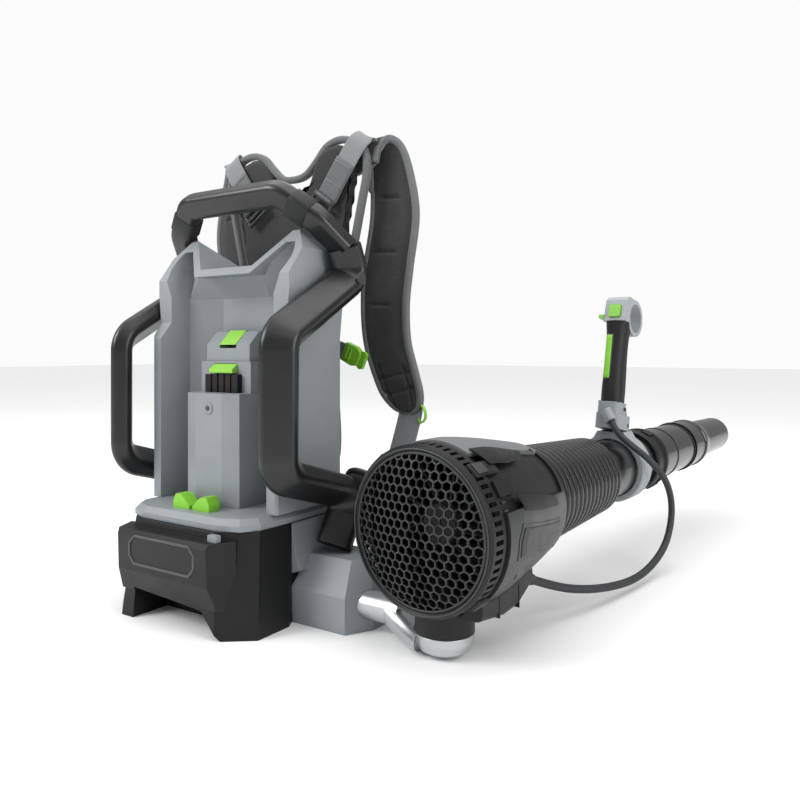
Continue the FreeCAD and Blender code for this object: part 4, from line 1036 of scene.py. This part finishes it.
def cut_at(a, b, limit):
    """The point between a, inside a circle, and b, outside it, where the line crosses the circle."""
    low, high = 0.0, 1.0
    for halving in range(12):
        middle = (low + high) / 2
        if math.hypot(a[0] + (b[0] - a[0]) * middle, a[1] + (b[1] - a[1]) * middle) > limit:
            high = middle
        else:
            low = middle
    return a[0] + (b[0] - a[0]) * high, a[1] + (b[1] - a[1]) * high


def cell_edges():
    """Every edge of the six-sided cells, once each, as pairs of (x, z) points in mm."""
    side = CELL_PITCH / math.sqrt(3)
    row_pitch = CELL_PITCH * math.sqrt(3) / 2
    rows = int(GRILLE_RADIUS / row_pitch) + 2
    edges = {}
    for row in range(-rows, rows + 1):
        for column in range(-rows, rows + 1):
            x = (column + 0.5 * (row % 2)) * CELL_PITCH
            z = row * row_pitch
            corners = []
            for step in range(6):
                angle = math.radians(60 * step + 30)
                corners.append((x + side * math.cos(angle), z + side * math.sin(angle)))
            for a, b in zip(corners, corners[1:] + corners[:1]):
                key = tuple(sorted(((round(a[0], 1), round(a[1], 1)), (round(b[0], 1), round(b[1], 1)))))
                edges[key] = (a, b)
    return edges.values()


def make_honeycomb():
    limit = GRILLE_RADIUS - RIM_WIDTH
    vertices = []
    faces = []
    for a, b in cell_edges():
        if math.hypot(*a) > limit:
            a, b = b, a
        if math.hypot(*a) > limit:
            continue
        if math.hypot(*b) > limit:
            b = cut_at(a, b, limit)
        length = math.hypot(b[0] - a[0], b[1] - a[1])
        if length < SHORTEST_WEB:
            continue
        across = ((b[1] - a[1]) / length * CELL_WEB / 2, (a[0] - b[0]) / length * CELL_WEB / 2)
        base = len(vertices)
        for depth, grow in ((0.0, 0.62), (0.5, 1.0), (CELL_DEPTH, 1.0)):
            for x, z in (a, b):
                for side in (-grow, grow):
                    vertices.append(dome_point(x + side * across[0], z + side * across[1], depth))
        for level in (base, base + 4):
            for p, q in ((0, 2), (2, 3), (3, 1), (1, 0)):
                faces.append([level + p, level + q, level + 4 + q, level + 4 + p])
        faces.append([base, base + 1, base + 3, base + 2])
        faces.append([base + 8, base + 10, base + 11, base + 9])
    web = mesh_object("honeycomb_web", vertices, faces, smooth=False)
    front = DOME_RADIUS - GRILLE_RISE - math.sqrt(DOME_RADIUS ** 2 - (limit - 1.4) ** 2)
    rim = revolved("honeycomb_rim", [(front, limit - 1.4), (front + 3.2, limit - 1.4),
                                     (3.0, GRILLE_RADIUS - 0.1), (-0.4, GRILLE_RADIUS - 0.1)], ROUND_SEGMENTS)
    return joined("intake_honeycomb", [web, rim])


honeycomb = on_blower(make_honeycomb(), GRILLE_GREY)
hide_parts("intake_grille")


def around(obj, angle):
    """Turns a piece about the blower's axis, from the right side up."""
    obj.data.transform(Matrix.Rotation(math.radians(-angle), 4, "Y"))
    return obj


# louvres between the slotted ring and the side panel
for index in range(15):
    tooth = block("ring_louvre", (88, 30, -1.1), (93.2, 36.5, 1.1), 0.0003)
    on_blower(around(tooth, -44 + index * 5.6), DARK_GREY)

# the raised line on the ring's front edge, dark grey against the black ring as a painted highlight on that
# edge
ring_lip = revolved("ring_front_lip", [(-2.6, 87.4), (-3.0, 88.6), (-2.4, 89.6), (-1.6, 89.4), (-1.8, 87.6)],
                    ROUND_SEGMENTS)
on_blower(ring_lip, DARK_GREY)

# latches that hold the intake on
for angle in (48, -48, 132, 228):
    latch = block("intake_latch", (86, 8, -9), (95.5, 52, 9), 0.0018)
    on_blower(around(latch, angle), BLACK)
    cap = block("intake_latch_cap", (94.5, 12, -6.5), (97.5, 30, 6.5), 0.0012)
    on_blower(around(cap, angle), DARK_GREY)
for station, angle, lift in ((118, 56, 8.0), (172, 60, 8.0), (60, -30, 6.6), (182, -34, 6.6)):
    out = Vector((math.cos(math.radians(angle)), 0, math.sin(math.radians(angle))))
    place = out * (housing_radius(station) + lift) + Y_AXIS * station
    on_blower(disc("housing_screw", place, out, 3.0, 0.9), BADGE_BLACK)

# seams of the underside housing
for station in (62, 104):
    seam = block("pod_seam", (-36, station, -97.2), (62.6, station + 1.2, -70), 0.0003)
    on_blower(seam, BADGE_BLACK)

# tube rings: a rounded profile on the front tube and a plain one on the middle tube
for station, radius, width in ((430, 46.4, 5), (500, 46.6, 4), (552, 46.2, 3)):
    end = station + width
    ring = revolved("tube_ring", [(station, 44.8), (station, radius - 0.5), (station + 0.8, radius),
                                  (end - 0.8, radius), (end, radius - 0.5), (end, 44.8)], TUBE_SEGMENTS)
    on_blower(ring, GLOSS_BLACK, "tube")
for station, radius in ((640, 45.6), (700, 45.2), (792, 44.4)):
    end = station + 3
    ring = revolved("tube_ring", [(station, 42.6), (station, radius), (end, radius), (end, 42.6)],
                    TUBE_SEGMENTS)
    on_blower(ring, GLOSS_BLACK, "tube")


# ------------------------------------------------------------------ handle details

def on_handle(obj, material):
    return finish_piece(obj, material, "tube", HANDLE)


strip_line = [V(-4.5, -19.4, 140), V(-4.5, -19.6, 164), V(-4.5, -19.2, 192), V(-4.5, -19.4, 214)]
on_handle(ribbon("grip_strip_frame", strip_line, X_AXIS, 0.0115, 0.004), DARK_GREY)
inner_line = [V(-4.8, -20.6, 142), V(-4.8, -20.8, 164), V(-4.8, -20.4, 192), V(-4.8, -20.6, 212)]
on_handle(ribbon("grip_strip", inner_line, X_AXIS, 0.0088, 0.0045), GREEN)
for y, z in ((22, 72), (6, 96)):
    for side in (-1, 1):
        bolt = disc("bracket_bolt", (side * 19.2, y, z), (side, 0, 0), 3.4, 1.2)
        on_handle(bolt, BADGE_BLACK)
collar = prism("grip_collar", [(-17, -17), (17, -17), (17, 17), (-17, 17)], 103.5, 106, "z", 0.001)
on_handle(collar, BADGE_BLACK)


# ------------------------------------------------------------------ stage

FLOOR_HALF = 14.0
FLOOR_COLOUR = (0.84, 0.84, 0.84, 1)
# the world as the camera sees it, and as it lights the object
SEEN_LIGHT, CAST_LIGHT = 0.97, 0.42
# name, place, target, size in metres and power in watts
AREA_LIGHTS = (
    ("key_light", (-1.5, -2.1, 1.9), (0.05, 0.1, 0.3), (1.5, 1.3), 66),
    ("fill_light", (2.6, -0.2, 1.2), (0.2, 0.2, 0.25), (1.0, 1.6), 30),
    ("top_light", (0.2, 0.5, 2.3), (0.1, 0.2, 0.2), (2.6, 1.6), 16),
)


def new_light(name, kind, power, place):
    data = bpy.data.lights.new(name, kind)
    data.energy = power
    lamp = bpy.data.objects.new(name, data)
    bpy.context.scene.collection.objects.link(lamp)
    lamp.location = place
    return lamp


def floor_and_light():
    floor_mesh = bpy.data.meshes.new("floor")
    corners = [(x * FLOOR_HALF, y * FLOOR_HALF, 0) for x, y in ((-1, -1), (1, -1), (1, 1), (-1, 1))]
    floor_mesh.from_pydata(corners, [], [(0, 1, 2, 3)])
    floor = bpy.data.objects.new("floor", floor_mesh)
    bpy.context.scene.collection.objects.link(floor)
    material, _, shader = new_material("floor")
    shader.inputs["Base Color"].default_value = FLOOR_COLOUR
    shader.inputs["Roughness"].default_value = 0.9
    floor.data.materials.append(material)
    world = bpy.data.worlds.new("studio")
    bpy.context.scene.world = world
    world.use_nodes = True
    background = world.node_tree.nodes["Background"]
    background.inputs["Color"].default_value = (1, 1, 1, 1)
    background.inputs["Strength"].default_value = CAST_LIGHT
    backdrop = node(world.node_tree, "ShaderNodeBackground", Color=(1, 1, 1, 1), Strength=SEEN_LIGHT)
    seen = world.node_tree.nodes.new("ShaderNodeLightPath")
    chosen = world.node_tree.nodes.new("ShaderNodeMixShader")
    links = world.node_tree.links
    links.new(seen.outputs["Is Camera Ray"], chosen.inputs[0])
    links.new(background.outputs[0], chosen.inputs[1])
    links.new(backdrop.outputs[0], chosen.inputs[2])
    links.new(chosen.outputs[0], world.node_tree.nodes["World Output"].inputs["Surface"])
    for name, place, target, size, power in AREA_LIGHTS:
        lamp = new_light(name, "AREA", power, place)
        lamp.data.shape = "RECTANGLE"
        lamp.data.size, lamp.data.size_y = size
        lamp.rotation_euler = (Vector(target) - Vector(place)).to_track_quat("-Z", "Y").to_euler()
    sky = new_light("soft_sky", "SUN", 1.9, (0.0, 0.0, 3.0))
    sky.data.angle = math.radians(100.0)


floor_and_light()
bpy.context.scene.view_settings.view_transform = "Standard"
